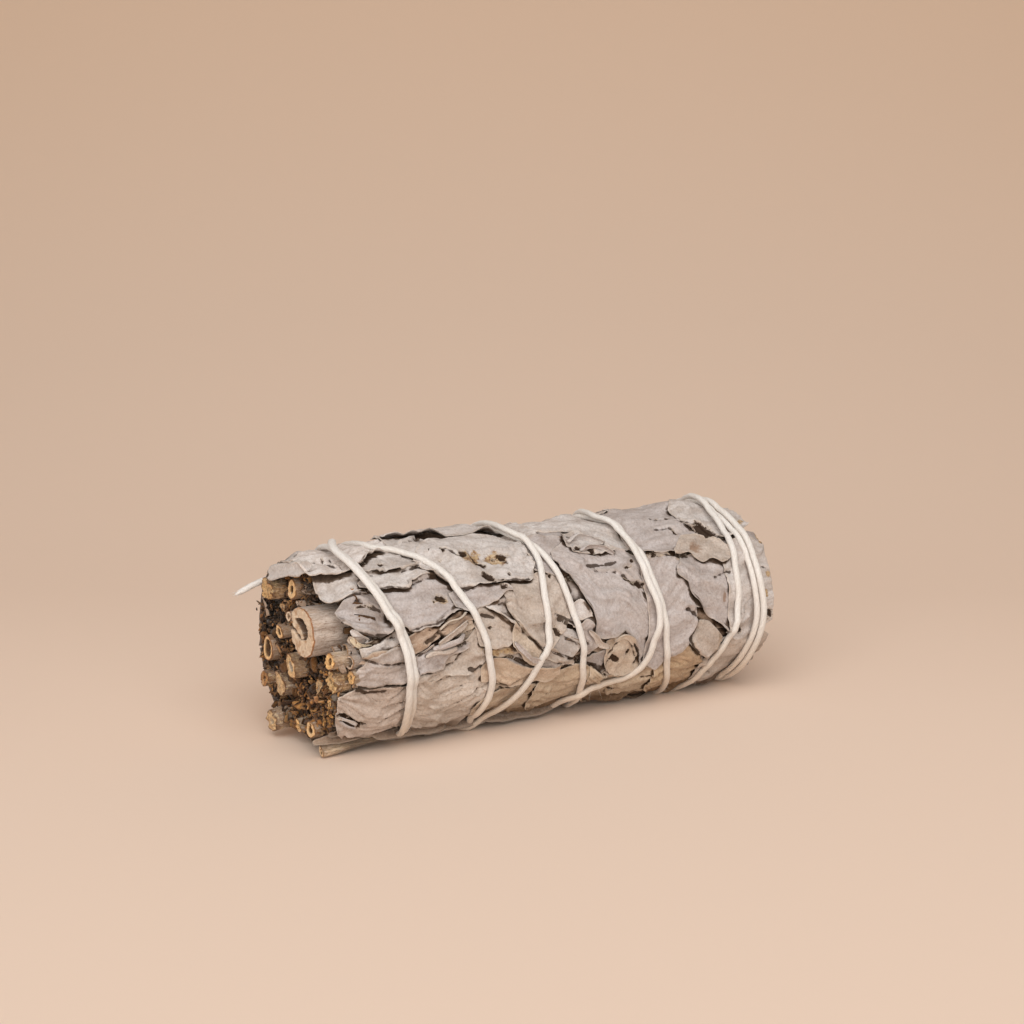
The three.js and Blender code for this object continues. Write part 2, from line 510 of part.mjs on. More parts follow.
const routeLength = (pts) => {
  let l = 0;
  for (let i = 1; i < pts.length; i++) l += pts[i].distanceTo(pts[i - 1]);
  return l;
};
const knotRadius = Math.max(
  stringTop(KNOT[0], KNOT[1]),
  stringTop(KNOT[0] + 1.5, KNOT[1] + 4),
) + R_STRING + 0.75;
const knot = new THREE.Vector3(
  KNOT[0],
  -knotRadius * Math.cos(rad(KNOT[1])),
  AXIS_Z + knotRadius * Math.sin(rad(KNOT[1])),
);
path.unshift(knot.clone());
path.push(knot.clone());
const halfway = sections.findIndex(([, t]) => t < -1690) + 1;
function stringSolid(grow) {
  let made = null;
  for (const part of [path.slice(0, halfway + 2), path.slice(halfway)]) {
    const s = solid(tube(part, R_STRING + grow, STRING_SIDES));
    made = made ? made.add(s) : s;
  }
  const ball = new THREE.SphereGeometry(1, 12, 8);
  ball.scale(1.9 + grow, 1.35 + grow, 1.5 + grow);
  ball.rotateX(rad(KNOT[1] - 90) * -1);
  ball.translate(knot.x, knot.y, knot.z);
  made = made.add(solid(ball));
  const tip = new THREE.Vector3(...TAIL_TIP);
  const tail = tube(
    [
      knot.clone(),
      knot.clone().lerp(tip, 0.33).add(new THREE.Vector3(0, 0.5, 0.6)),
      knot.clone().lerp(tip, 0.7).add(new THREE.Vector3(0, 0.3, 0.5)),
      tip,
    ],
    R_STRING * 0.9 + grow,
    STRING_SIDES,
  );
  return made.add(solid(tail));
}
// everything ends on the surface below, where the string is pressed flat
const floorBox = new THREE.BoxGeometry(200, 200, 40);
floorBox.translate(0, 0, -20);
const below = solid(floorBox);
const string = stringSolid(0).subtract(below);
const stringClear = stringSolid(LAYER_GAP);

// ---- the crushed inner leaves, with room for the stems ----
function packSolid() {
  const rings = 8,
    around = 24;
  const g = new THREE.CylinderGeometry(1, 1, 1, around, rings);
  const q = g.attributes.position,
    v = new THREE.Vector3();
  for (let i = 0; i < q.count; i++) {
    const u = q.getY(i) + 0.5,
      r = Math.hypot(q.getX(i), q.getZ(i));
    const t = THREE.MathUtils.radToDeg(Math.atan2(q.getZ(i), q.getX(i)));
    const x = PACK_NEAR_X + (PACK_FAR_X - PACK_NEAR_X) * u;
    const end = Math.min(u, 1 - u) < 0.01 ? 0.4 : 0;
    const radius = leafRadius(x) - PACK_DEPTH - CINCH_DEPTH - surfaceDrop(x, t).flat - end;
    v.set(
      r < 0.5 ? x + (u < 0.5 ? 1.2 : -1.2) : x,
      -r * radius * Math.cos(rad(t)),
      AXIS_Z + r * radius * Math.sin(rad(t)),
    );
    q.setXYZ(i, v.x, v.y, v.z);
  }
  return solid(g);
}
let pack = packSolid();
for (const c of stemClear) pack = pack.subtract(c);
pack = largest(pack);

// ---- cut each leaf where a leaf above it, a stem or the string needs the room ----
const overs = leafSolids.map(([, , over]) => solid(over));
const leaves = leafSolids.map(([name, own], i) => {
  let s = own;
  for (let k = i + 1; k < overs.length; k++) {
    if (s.intersect(overs[k]).volume() > 0) s = s.subtract(overs[k]);
  }
  for (const c of stemClear) s = s.subtract(c);
  s = s.subtract(stringClear).subtract(below);
  return [name, largest(s), own.volume()];
});

// ---- the assembly ----
const leafColours = [0xc7beb8, 0xbdb0a6, 0xc2b4ac, 0xb5a698, 0xcbc4c0, 0xb8a79b];
const group = new THREE.Group();
group.position.set(...ORIGIN_SHIFT);
function addPiece(name, s, colour, roughness) {
  const mesh = new THREE.Mesh(
    geometryOf(s),
    new THREE.MeshStandardMaterial({ color: colour, roughness, metalness: 0 }),
  );
  mesh.name = name;
  group.add(mesh);
}
addPiece("inner_leaf_pack", pack, 0x5a4636, 0.95);
for (const [name, s] of stemSolids)
  addPiece(name, name === "stem_splayed" ? largest(s.subtract(stringClear)) : s, 0xc9a878, 0.8);
leaves.forEach(([name, s], i) =>
  addPiece(name, s, leafColours[i % leafColours.length], 0.92),
);
addPiece("cotton_string", largest(string), 0xe8e2da, 0.9);

export default group;
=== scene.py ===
import json
import math

import bpy
import numpy as np
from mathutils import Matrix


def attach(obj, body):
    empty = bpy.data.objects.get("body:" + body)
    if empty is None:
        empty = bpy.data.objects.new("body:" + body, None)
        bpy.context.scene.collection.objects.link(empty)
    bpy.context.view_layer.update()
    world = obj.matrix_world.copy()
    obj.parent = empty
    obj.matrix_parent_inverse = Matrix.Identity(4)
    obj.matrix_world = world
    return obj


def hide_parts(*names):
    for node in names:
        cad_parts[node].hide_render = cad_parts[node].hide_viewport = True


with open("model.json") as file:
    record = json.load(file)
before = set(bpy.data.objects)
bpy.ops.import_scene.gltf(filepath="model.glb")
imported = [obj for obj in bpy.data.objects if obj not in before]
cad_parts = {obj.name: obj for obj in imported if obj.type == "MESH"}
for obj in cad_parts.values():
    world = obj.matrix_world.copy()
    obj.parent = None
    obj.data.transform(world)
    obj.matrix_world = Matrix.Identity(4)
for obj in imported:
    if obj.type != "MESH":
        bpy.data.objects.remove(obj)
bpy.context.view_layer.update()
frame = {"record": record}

# Lengths are in millimetres until a mesh is made. The bundle's axis runs along X at height AXIS_Z, and SHIFT puts the
# frame's origin under the middle of the whole object, as the CAD part does.
MM = 0.001
SHIFT = np.array([3.312, 0.357, 0.0])
AXIS_Z = 19.0
R_LEAF = 18.5
D2R = math.pi / 180.0
rng = np.random.default_rng(7)


# ------------------------------------------------------------------------------------------------ noise
def _hash3(i, j, k, seed):
    n = (i * 73856093) ^ (j * 19349663) ^ (k * 83492791) ^ (seed * 2654435761 & 0x7FFFFFFF)
    n = (n ^ (n >> 13)) & 0x7FFFFFFF
    n = (n * (n * n * 15731 + 789221) + 1376312589) & 0x7FFFFFFF
    return n / 1073741823.5 - 1.0


def noise3(p, seed=0):
    """Smooth value noise in [-1, 1] of an (n, 3) array."""
    p = np.asarray(p, float)
    f = np.floor(p)
    i = f.astype(np.int64)
    t = p - f
    t = t * t * t * (t * (t * 6 - 15) + 10)
    out = 0.0
    for a in (0, 1):
        wa = t[:, 0] if a else 1 - t[:, 0]
        for b in (0, 1):
            wb = t[:, 1] if b else 1 - t[:, 1]
            for c in (0, 1):
                wc = t[:, 2] if c else 1 - t[:, 2]
                out = out + wa * wb * wc * _hash3(i[:, 0] + a, i[:, 1] + b, i[:, 2] + c, seed)
    return out


def fbm(p, octaves=3, seed=0, gain=0.5):
    p = np.asarray(p, float)
    s, a, total = 0.0, 1.0, 0.0
    for o in range(octaves):
        s = s + a * noise3(p * (2.03 ** o) + 17.3 * o, seed + o * 31)
        total += a
        a *= gain
    return s / total


def ridge(p, seed=0):
    return 1.0 - np.abs(noise3(p, seed)) * 2.0


def smooth01(t):
    t = np.clip(t, 0.0, 1.0)
    return t * t * (3 - 2 * t)


# ------------------------------------------------------------------------------------------------ the string's route
ROUTE = [
    (-42.6, 110), (-43.1, 80), (-42.0, 60), (-41.1, 50), (-40.0, 40), (-39.0, 30), (-37.75, 20), (-36.7, 10), (-36.2, 0), (-35.8, -10), (-35.4, -20), (-34.8, -30), (-34.5, -40), (-33.9, -50), (-33.2, -60), (-31.5, -80), (-31.3, -105), (-34, -150), (-36.5, -200), (-37.5, -240),
    (-36.25, -275), (-35, -280), (-33, -285), (-30.9, -290), (-29.7, -295), (-28.4, -300), (-27, -305), (-26.1, -310), (-25.3, -315), (-24.7, -320), (-23.3, -330), (-22.1, -340), (-20.8, -350), (-20.1, -360), (-19.3, -370), (-18.5, -380), (-18.3, -390), (-19.1, -400), (-19.6, -411), (-18.6, -422), (-17.0, -434), (-15.6, -455), (-14.6, -480), (-12.3, -520), (-9.3, -560),
    (-6.7, -643), (-4.4, -655), (-3.65, -660), (-2.7, -670), (-1.9, -680), (-1.5, -690), (-0.95, -700), (-0.35, -710), (0.56, -720), (1.5, -730), (2.0, -740), (2.9, -750), (3.5, -760), (4.2, -770), (5.5, -790), (8.5, -830), (11.5, -880), (14, -930),
    (15.2, -988), (16.0, -1000), (16.8, -1010), (17.4, -1020), (18.1, -1030), (18.4, -1040), (18.8, -1050), (19.5, -1060), (20.1, -1068), (20.8, -1080), (21.4, -1090), (22.1, -1100), (23.1, -1110), (24.2, -1120), (25.6, -1130), (26.8, -1140), (28.0, -1158), (28.6, -1180), (30.6, -1200), (34, -1225), (38, -1260), (41, -1310),
    (42.7, -1365), (43.1, -1380), (43.4, -1390), (43.7, -1410), (44.0, -1430), (44.3, -1440), (44.3, -1450), (44.0, -1460), (43.5, -1470), (43.2, -1480), (42.6, -1530), (43.2, -1600), (44.2, -1680),
    (44.0, -1725), (44.3, -1750), (44.7, -1780), (45.3, -1800), (45.3, -1810), (45.0, -1820), (44.4, -1840), (44.2, -1890), (43.4, -1980), (42.6, -2040),
    (41.6, -2079), (41.3, -2095), (40.9, -2110), (40.4, -2120), (40.1, -2130), (39.6, -2140), (39.5, -2150), (39.0, -2160), (38.2, -2170), (37.4, -2180), (36.3, -2190), (34.6, -2200), (32.4, -2220), (31.4, -2245), (30.2, -2265), (27.2, -2285), (21.6, -2335), (17.5, -2390),
    (14.6, -2435), (15.0, -2441), (15.8, -2450), (16.9, -2470), (17.4, -2490), (18.2, -2502), (18.9, -2510), (19.0, -2520), (18.5, -2530), (18.1, -2540), (17.6, -2545), (16.5, -2550), (14.9, -2554), (12.4, -2558), (9.3, -2560), (3.8, -2563), (0, -2590), (-3, -2630), (-5.7, -2690), (-7.4, -2740),
    (-7.6, -2800), (-6.0, -2812), (-5.2, -2820), (-4.9, -2830), (-5.5, -2840), (-6.15, -2850), (-6.5, -2860), (-6.6, -2870), (-7.0, -2880), (-7.6, -2885), (-8.4, -2890), (-9.3, -2900), (-10.7, -2910), (-12.25, -2920), (-14.1, -2930), (-15.6, -2937), (-17.8, -2944), (-19.9, -2953), (-21.4, -2970), (-23.4, -2990), (-30, -3040), (-37, -3100), (-41.6, -3140),
    (-44.2, -3160), (-43.2, -3180), (-42.3, -3190), (-41.2, -3200), (-40.2, -3210), (-38.95, -3220), (-37.9, -3230), (-37.35, -3240), (-36.6, -3260), (-35.7, -3280), (-34.6, -3300), (-33.4, -3325), (-34.4, -3360), (-37, -3400), (-40, -3440),
]
KNOT = (-42.4, 143.0)
TAIL_TIP = (-56.4, 16.2, 27.0)


def catmull(points, step):
    """Points of a centripetal Catmull-Rom curve through points (n, k), about step apart along the arc."""
    P = np.asarray(points, float)
    P = np.vstack([2 * P[0] - P[1], P, 2 * P[-1] - P[-2]])
    out = []
    for i in range(1, len(P) - 2):
        p0, p1, p2, p3 = P[i - 1], P[i], P[i + 1], P[i + 2]
        t0 = 0.0
        t1 = t0 + max(np.linalg.norm(p1 - p0), 1e-6) ** 0.5
        t2 = t1 + max(np.linalg.norm(p2 - p1), 1e-6) ** 0.5
        t3 = t2 + max(np.linalg.norm(p3 - p2), 1e-6) ** 0.5
        n = max(2, int(np.linalg.norm(p2 - p1) / step * 3))
        t = np.linspace(t1, t2, n, endpoint=False)[:, None]
        a1 = (t1 - t) / (t1 - t0) * p0 + (t - t0) / (t1 - t0) * p1
        a2 = (t2 - t) / (t2 - t1) * p1 + (t - t1) / (t2 - t1) * p2
        a3 = (t3 - t) / (t3 - t2) * p2 + (t - t2) / (t3 - t2) * p3
        b1 = (t2 - t) / (t2 - t0) * a1 + (t - t0) / (t2 - t0) * a2
        b2 = (t3 - t) / (t3 - t1) * a2 + (t - t1) / (t3 - t1) * a3
        out.append((t2 - t) / (t2 - t1) * b1 + (t - t1) / (t2 - t1) * b2)
    out.append(P[-2][None])
    C = np.vstack(out)
    d = np.r_[0, np.cumsum(np.linalg.norm(np.diff(C, axis=0), axis=1))]
    m = max(3, int(round(d[-1] / step)) + 1)
    s = np.linspace(0, d[-1], m)
    return np.stack([np.interp(s, d, C[:, k]) for k in range(C.shape[1])], 1)


_r = np.array(ROUTE, float)
_uv = np.stack([_r[:, 0], _r[:, 1] * D2R * R_LEAF], 1)
ROUTE_UV = catmull(_uv, 0.3)  # x and arc length round the bundle, in mm
ROUTE_X = ROUTE_UV[:, 0]
ROUTE_T = ROUTE_UV[:, 1] / (D2R * R_LEAF)  # degrees


# ------------------------------------------------------------------------------------------------ the surface's maps
GX, GT = 0.25, 0.75
X0 = -56.0
NX, NT = int(112 / GX) + 1, int(360 / GT)
XS = X0 + GX * np.arange(NX)
TS = GT * np.arange(NT)


def leaf_radius(x):
    return (
        R_LEAF
        - 1.2 * np.clip((-36 - x) / 14, 0, 1) ** 1.5
        - 1.0 * np.clip((x - 44) / 6, 0, 1) ** 1.5
    )


def wrap(d):
    return (np.asarray(d) + 180.0) % 360.0 - 180.0


def cell(x, t):
    i = np.clip(np.round((np.asarray(x) - X0) / GX).astype(int), 0, NX - 1)
    j = np.round(np.asarray(t) / GT).astype(int) % NT
    return i, j


def sample(m, x, t):
    fi = np.clip((np.asarray(x) - X0) / GX, 0, NX - 1.001)
    fj = np.asarray(t) / GT
    i = np.floor(fi).astype(int)
    j = np.floor(fj).astype(int)
    a, b = fi - i, fj - j
    j0, j1 = j % NT, (j + 1) % NT
    return (m[i, j0] * (1 - a) + m[i + 1, j0] * a) * (1 - b) + (m[i, j1] * (1 - a) + m[i + 1, j1] * a) * b


def blur(m, mm):
    """Gaussian blur of a map, round the bundle without a seam."""
    sx, st = mm / GX, mm / (GT * D2R * R_LEAF)
    kx = np.exp(-0.5 * (np.arange(-int(3 * sx) - 1, int(3 * sx) + 2) / sx) ** 2)
    kt = np.exp(-0.5 * (np.arange(-int(3 * st) - 1, int(3 * st) + 2) / st) ** 2)
    kx /= kx.sum()
    kt /= kt.sum()
    h = len(kx) // 2
    p = np.vstack([np.repeat(m[:1], h, 0), m, np.repeat(m[-1:], h, 0)])
    o = sum(kx[k] * p[k : k + NX] for k in range(len(kx)))
    return sum(kt[k] * np.roll(o, k - len(kt) // 2, 1) for k in range(len(kt)))


def grow_max(m, mm):
    """Largest value within mm of each cell."""
    o = m.copy()
    nx, nt = int(round(mm / GX)), int(round(mm / (GT * D2R * R_LEAF)))
    for k in range(-nx, nx + 1):
        o[max(0, -k) : NX - max(0, k)] = np.maximum(o[max(0, -k) : NX - max(0, k)], m[max(0, k) : NX - max(0, -k)])
    m2 = o.copy()
    for k in range(-nt, nt + 1):
        o = np.maximum(o, np.roll(m2, k, 1))
    return o


# how far the string presses the leaves in
press = np.zeros((NX, NT))
for x, t in zip(ROUTE_X[::3], ROUTE_T[::3]):
    i0, j0 = int(round((x - X0) / GX)), int(round(t / GT))
    ii = np.arange(max(0, i0 - 18), min(NX, i0 + 19))
    jj = np.arange(j0 - 18, j0 + 19)
    d2 = (XS[ii] - x)[:, None] ** 2 + ((jj * GT - t) * D2R * R_LEAF)[None] ** 2
    under = np.where(np.sin(jj * GT * D2R) < -0.85, 0.4, 1.0)[None]
    v = under * (0.4 * np.exp(-d2 / 2.2**2) + 0.2 * np.exp(-d2 / 0.75**2))
    blk = press[np.ix_(ii, jj % NT)]
    press[np.ix_(ii, jj % NT)] = np.maximum(blk, v)


def flat_drop(x, t):
    s = np.sin(t * D2R)
    over = leaf_radius(x) - (AXIS_Z - 1.3) / np.maximum(-s, 0.3)
    flat = np.where(over > 0.5, over, np.where(over > -0.5, (over + 0.5) ** 2 / 2, 0.0)) * (s < -0.3)
    splay = 0.9 * np.exp(-((wrap(t + 66) * D2R * R_LEAF) ** 2) / 5) * np.clip((-27 - x) / 6, 0, 1)
    return flat + splay


CORE_DEPTH = 0.72
_XX, _TT = np.meshgrid(XS, TS, indexing="ij")
# slow swells of the whole bundle, so that it is not a perfect cylinder
_c3 = np.stack([_XX.ravel(), R_LEAF * np.cos(_TT.ravel() * D2R), R_LEAF * np.sin(_TT.ravel() * D2R)], 1)
swell = (0.35 * noise3(_c3 / 14.0, 5) + 0.22 * noise3(_c3 / 6.0, 6)).reshape(NX, NT)


def near_drop(x, t):
    """How far the leaves fall away at the stem end, where the rolled stem stands clear of them."""
    w = smooth01((wrap(t) - 6) / 14) * smooth01((68 - wrap(t)) / 10)
    return smooth01((-43.0 - x) / 6) * w


BASE = leaf_radius(_XX) - CORE_DEPTH - press - flat_drop(_XX, _TT) + swell * 0.8 - 1.8 * near_drop(_XX, _TT)


def base_radius(x, t):
    return sample(BASE, x, t)


def place(x, t, r):
    a = np.asarray(t) * D2R
    return np.stack([np.asarray(x), -r * np.cos(a), AXIS_Z + r * np.sin(a)], -1)


# H is the running height of what is already laid, over BASE
H = (0.25 * ridge(_c3 / np.array([5.0, 1.6, 1.6]), 11) + 0.2 * noise3(_c3 / 2.2, 12)).reshape(NX, NT)
H = np.clip(H, 0, 1)


# ------------------------------------------------------------------------------------------------ meshes
ALL = []


def make_object(name, verts, faces, attrs=None, colours=None, smooth=True):
    """A mesh object from mm vertices. faces is an (n, 3) or (n, 4) array, or a list of such arrays."""
    me = bpy.data.meshes.new(name)
    v = (np.asarray(verts, float) + SHIFT) * MM
    fl = faces if isinstance(faces, list) else [faces]
    fl = [np.asarray(f, np.int32) for f in fl if len(f)]
    me.vertices.add(len(v))
    me.vertices.foreach_set("co", v.astype(np.float32).ravel())
    loops = np.concatenate([f.ravel() for f in fl])
    totals = np.concatenate([np.full(len(f), f.shape[1], np.int32) for f in fl])
    starts = np.r_[0, np.cumsum(totals)[:-1]].astype(np.int32)
    me.loops.add(len(loops))
    me.loops.foreach_set("vertex_index", loops)
    me.polygons.add(len(totals))
    me.polygons.foreach_set("loop_start", starts)
    me.polygons.foreach_set("loop_total", totals)
    me.polygons.foreach_set("use_smooth", np.full(len(totals), smooth))
    for k, a in (attrs or {}).items():
        at = me.attributes.new(k, "FLOAT", "POINT")
        at.data.foreach_set("value", np.asarray(a, np.float32))
    for k, c in (colours or {}).items():
        c = np.asarray(c, np.float32)
        if c.shape[1] == 3:
            c = np.hstack([c, np.ones((len(c), 1), np.float32)])
        at = me.attributes.new(k, "FLOAT_COLOR", "POINT")
        at.data.foreach_set("color", c.ravel())
    me.update(calc_edges=True)
    me.validate()
    ob = bpy.data.objects.new(name, me)
    bpy.context.scene.collection.objects.link(ob)
    ALL.append(ob)
    return ob


def srgb(r, g, b):
    c = np.array([r, g, b], float) / 255.0
    return np.where(c <= 0.04045, c / 12.92, ((c + 0.055) / 1.055) ** 2.4)


class Batch:
    """Collects many small closed bodies into one mesh."""

    def __init__(self):
        self.v, self.q, self.t, self.a, self.c, self.n = [], [], [], {}, [], 0

    def add(self, verts, quads=None, tris=None, colour=None, **attrs):
        verts = np.asarray(verts, float)
        if quads is not None and len(quads):
            self.q.append(np.asarray(quads) + self.n)
        if tris is not None and len(tris):
            self.t.append(np.asarray(tris) + self.n)
        self.v.append(verts)
        c = np.asarray(colour if colour is not None else (0.5, 0.5, 0.5), float)
        self.c.append(np.broadcast_to(c, (len(verts), 3)))
        for k in set(self.a) | set(attrs):
            self.a.setdefault(k, [np.zeros(self.n)] if self.n else [])
            val = attrs.get(k, 0.0)
            self.a[k].append(np.broadcast_to(np.asarray(val, float), (len(verts),)))
        self.n += len(verts)

    def build(self, name, smooth=True):
        faces = []
        if self.q:
            faces.append(np.vstack(self.q))
        if self.t:
            faces.append(np.vstack(self.t))
        return make_object(
            name,
            np.vstack(self.v),
            faces,
            {k: np.concatenate(v) for k, v in self.a.items()},
            {"tint": np.vstack(self.c)},
            smooth,
        )


def sheet_faces(nu, nv):
    """Faces of a closed sheet: an upper grid of nu x nv vertices and a lower one that shares its rim. Returns quads and,
    for the lower grid, the index of each vertex."""
    up = np.arange(nu * nv).reshape(nu, nv)
    low = up.copy()
    low[1:-1, 1:-1] = nu * nv + np.arange((nu - 2) * (nv - 2)).reshape(nu - 2, nv - 2)
    a = np.stack([up[:-1, :-1], up[1:, :-1], up[1:, 1:], up[:-1, 1:]], -1).reshape(-1, 4)
    b = np.stack([low[:-1, :-1], low[:-1, 1:], low[1:, 1:], low[1:, :-1]], -1).reshape(-1, 4)
    return a, b, low


# ------------------------------------------------------------------------------------------------ leaf tones, linear
PALE = srgb(210, 202, 197)
MAUVE = srgb(193, 183, 179)
TAN = srgb(199, 185, 173)
WARM = srgb(205, 187, 168)
BROWN = srgb(178, 152, 130)
LIGHT = srgb(212, 204, 199)
GOLD = srgb(203, 182, 157)
OCHRE = srgb(190, 146, 92)
DARK = srgb(64, 50, 40)

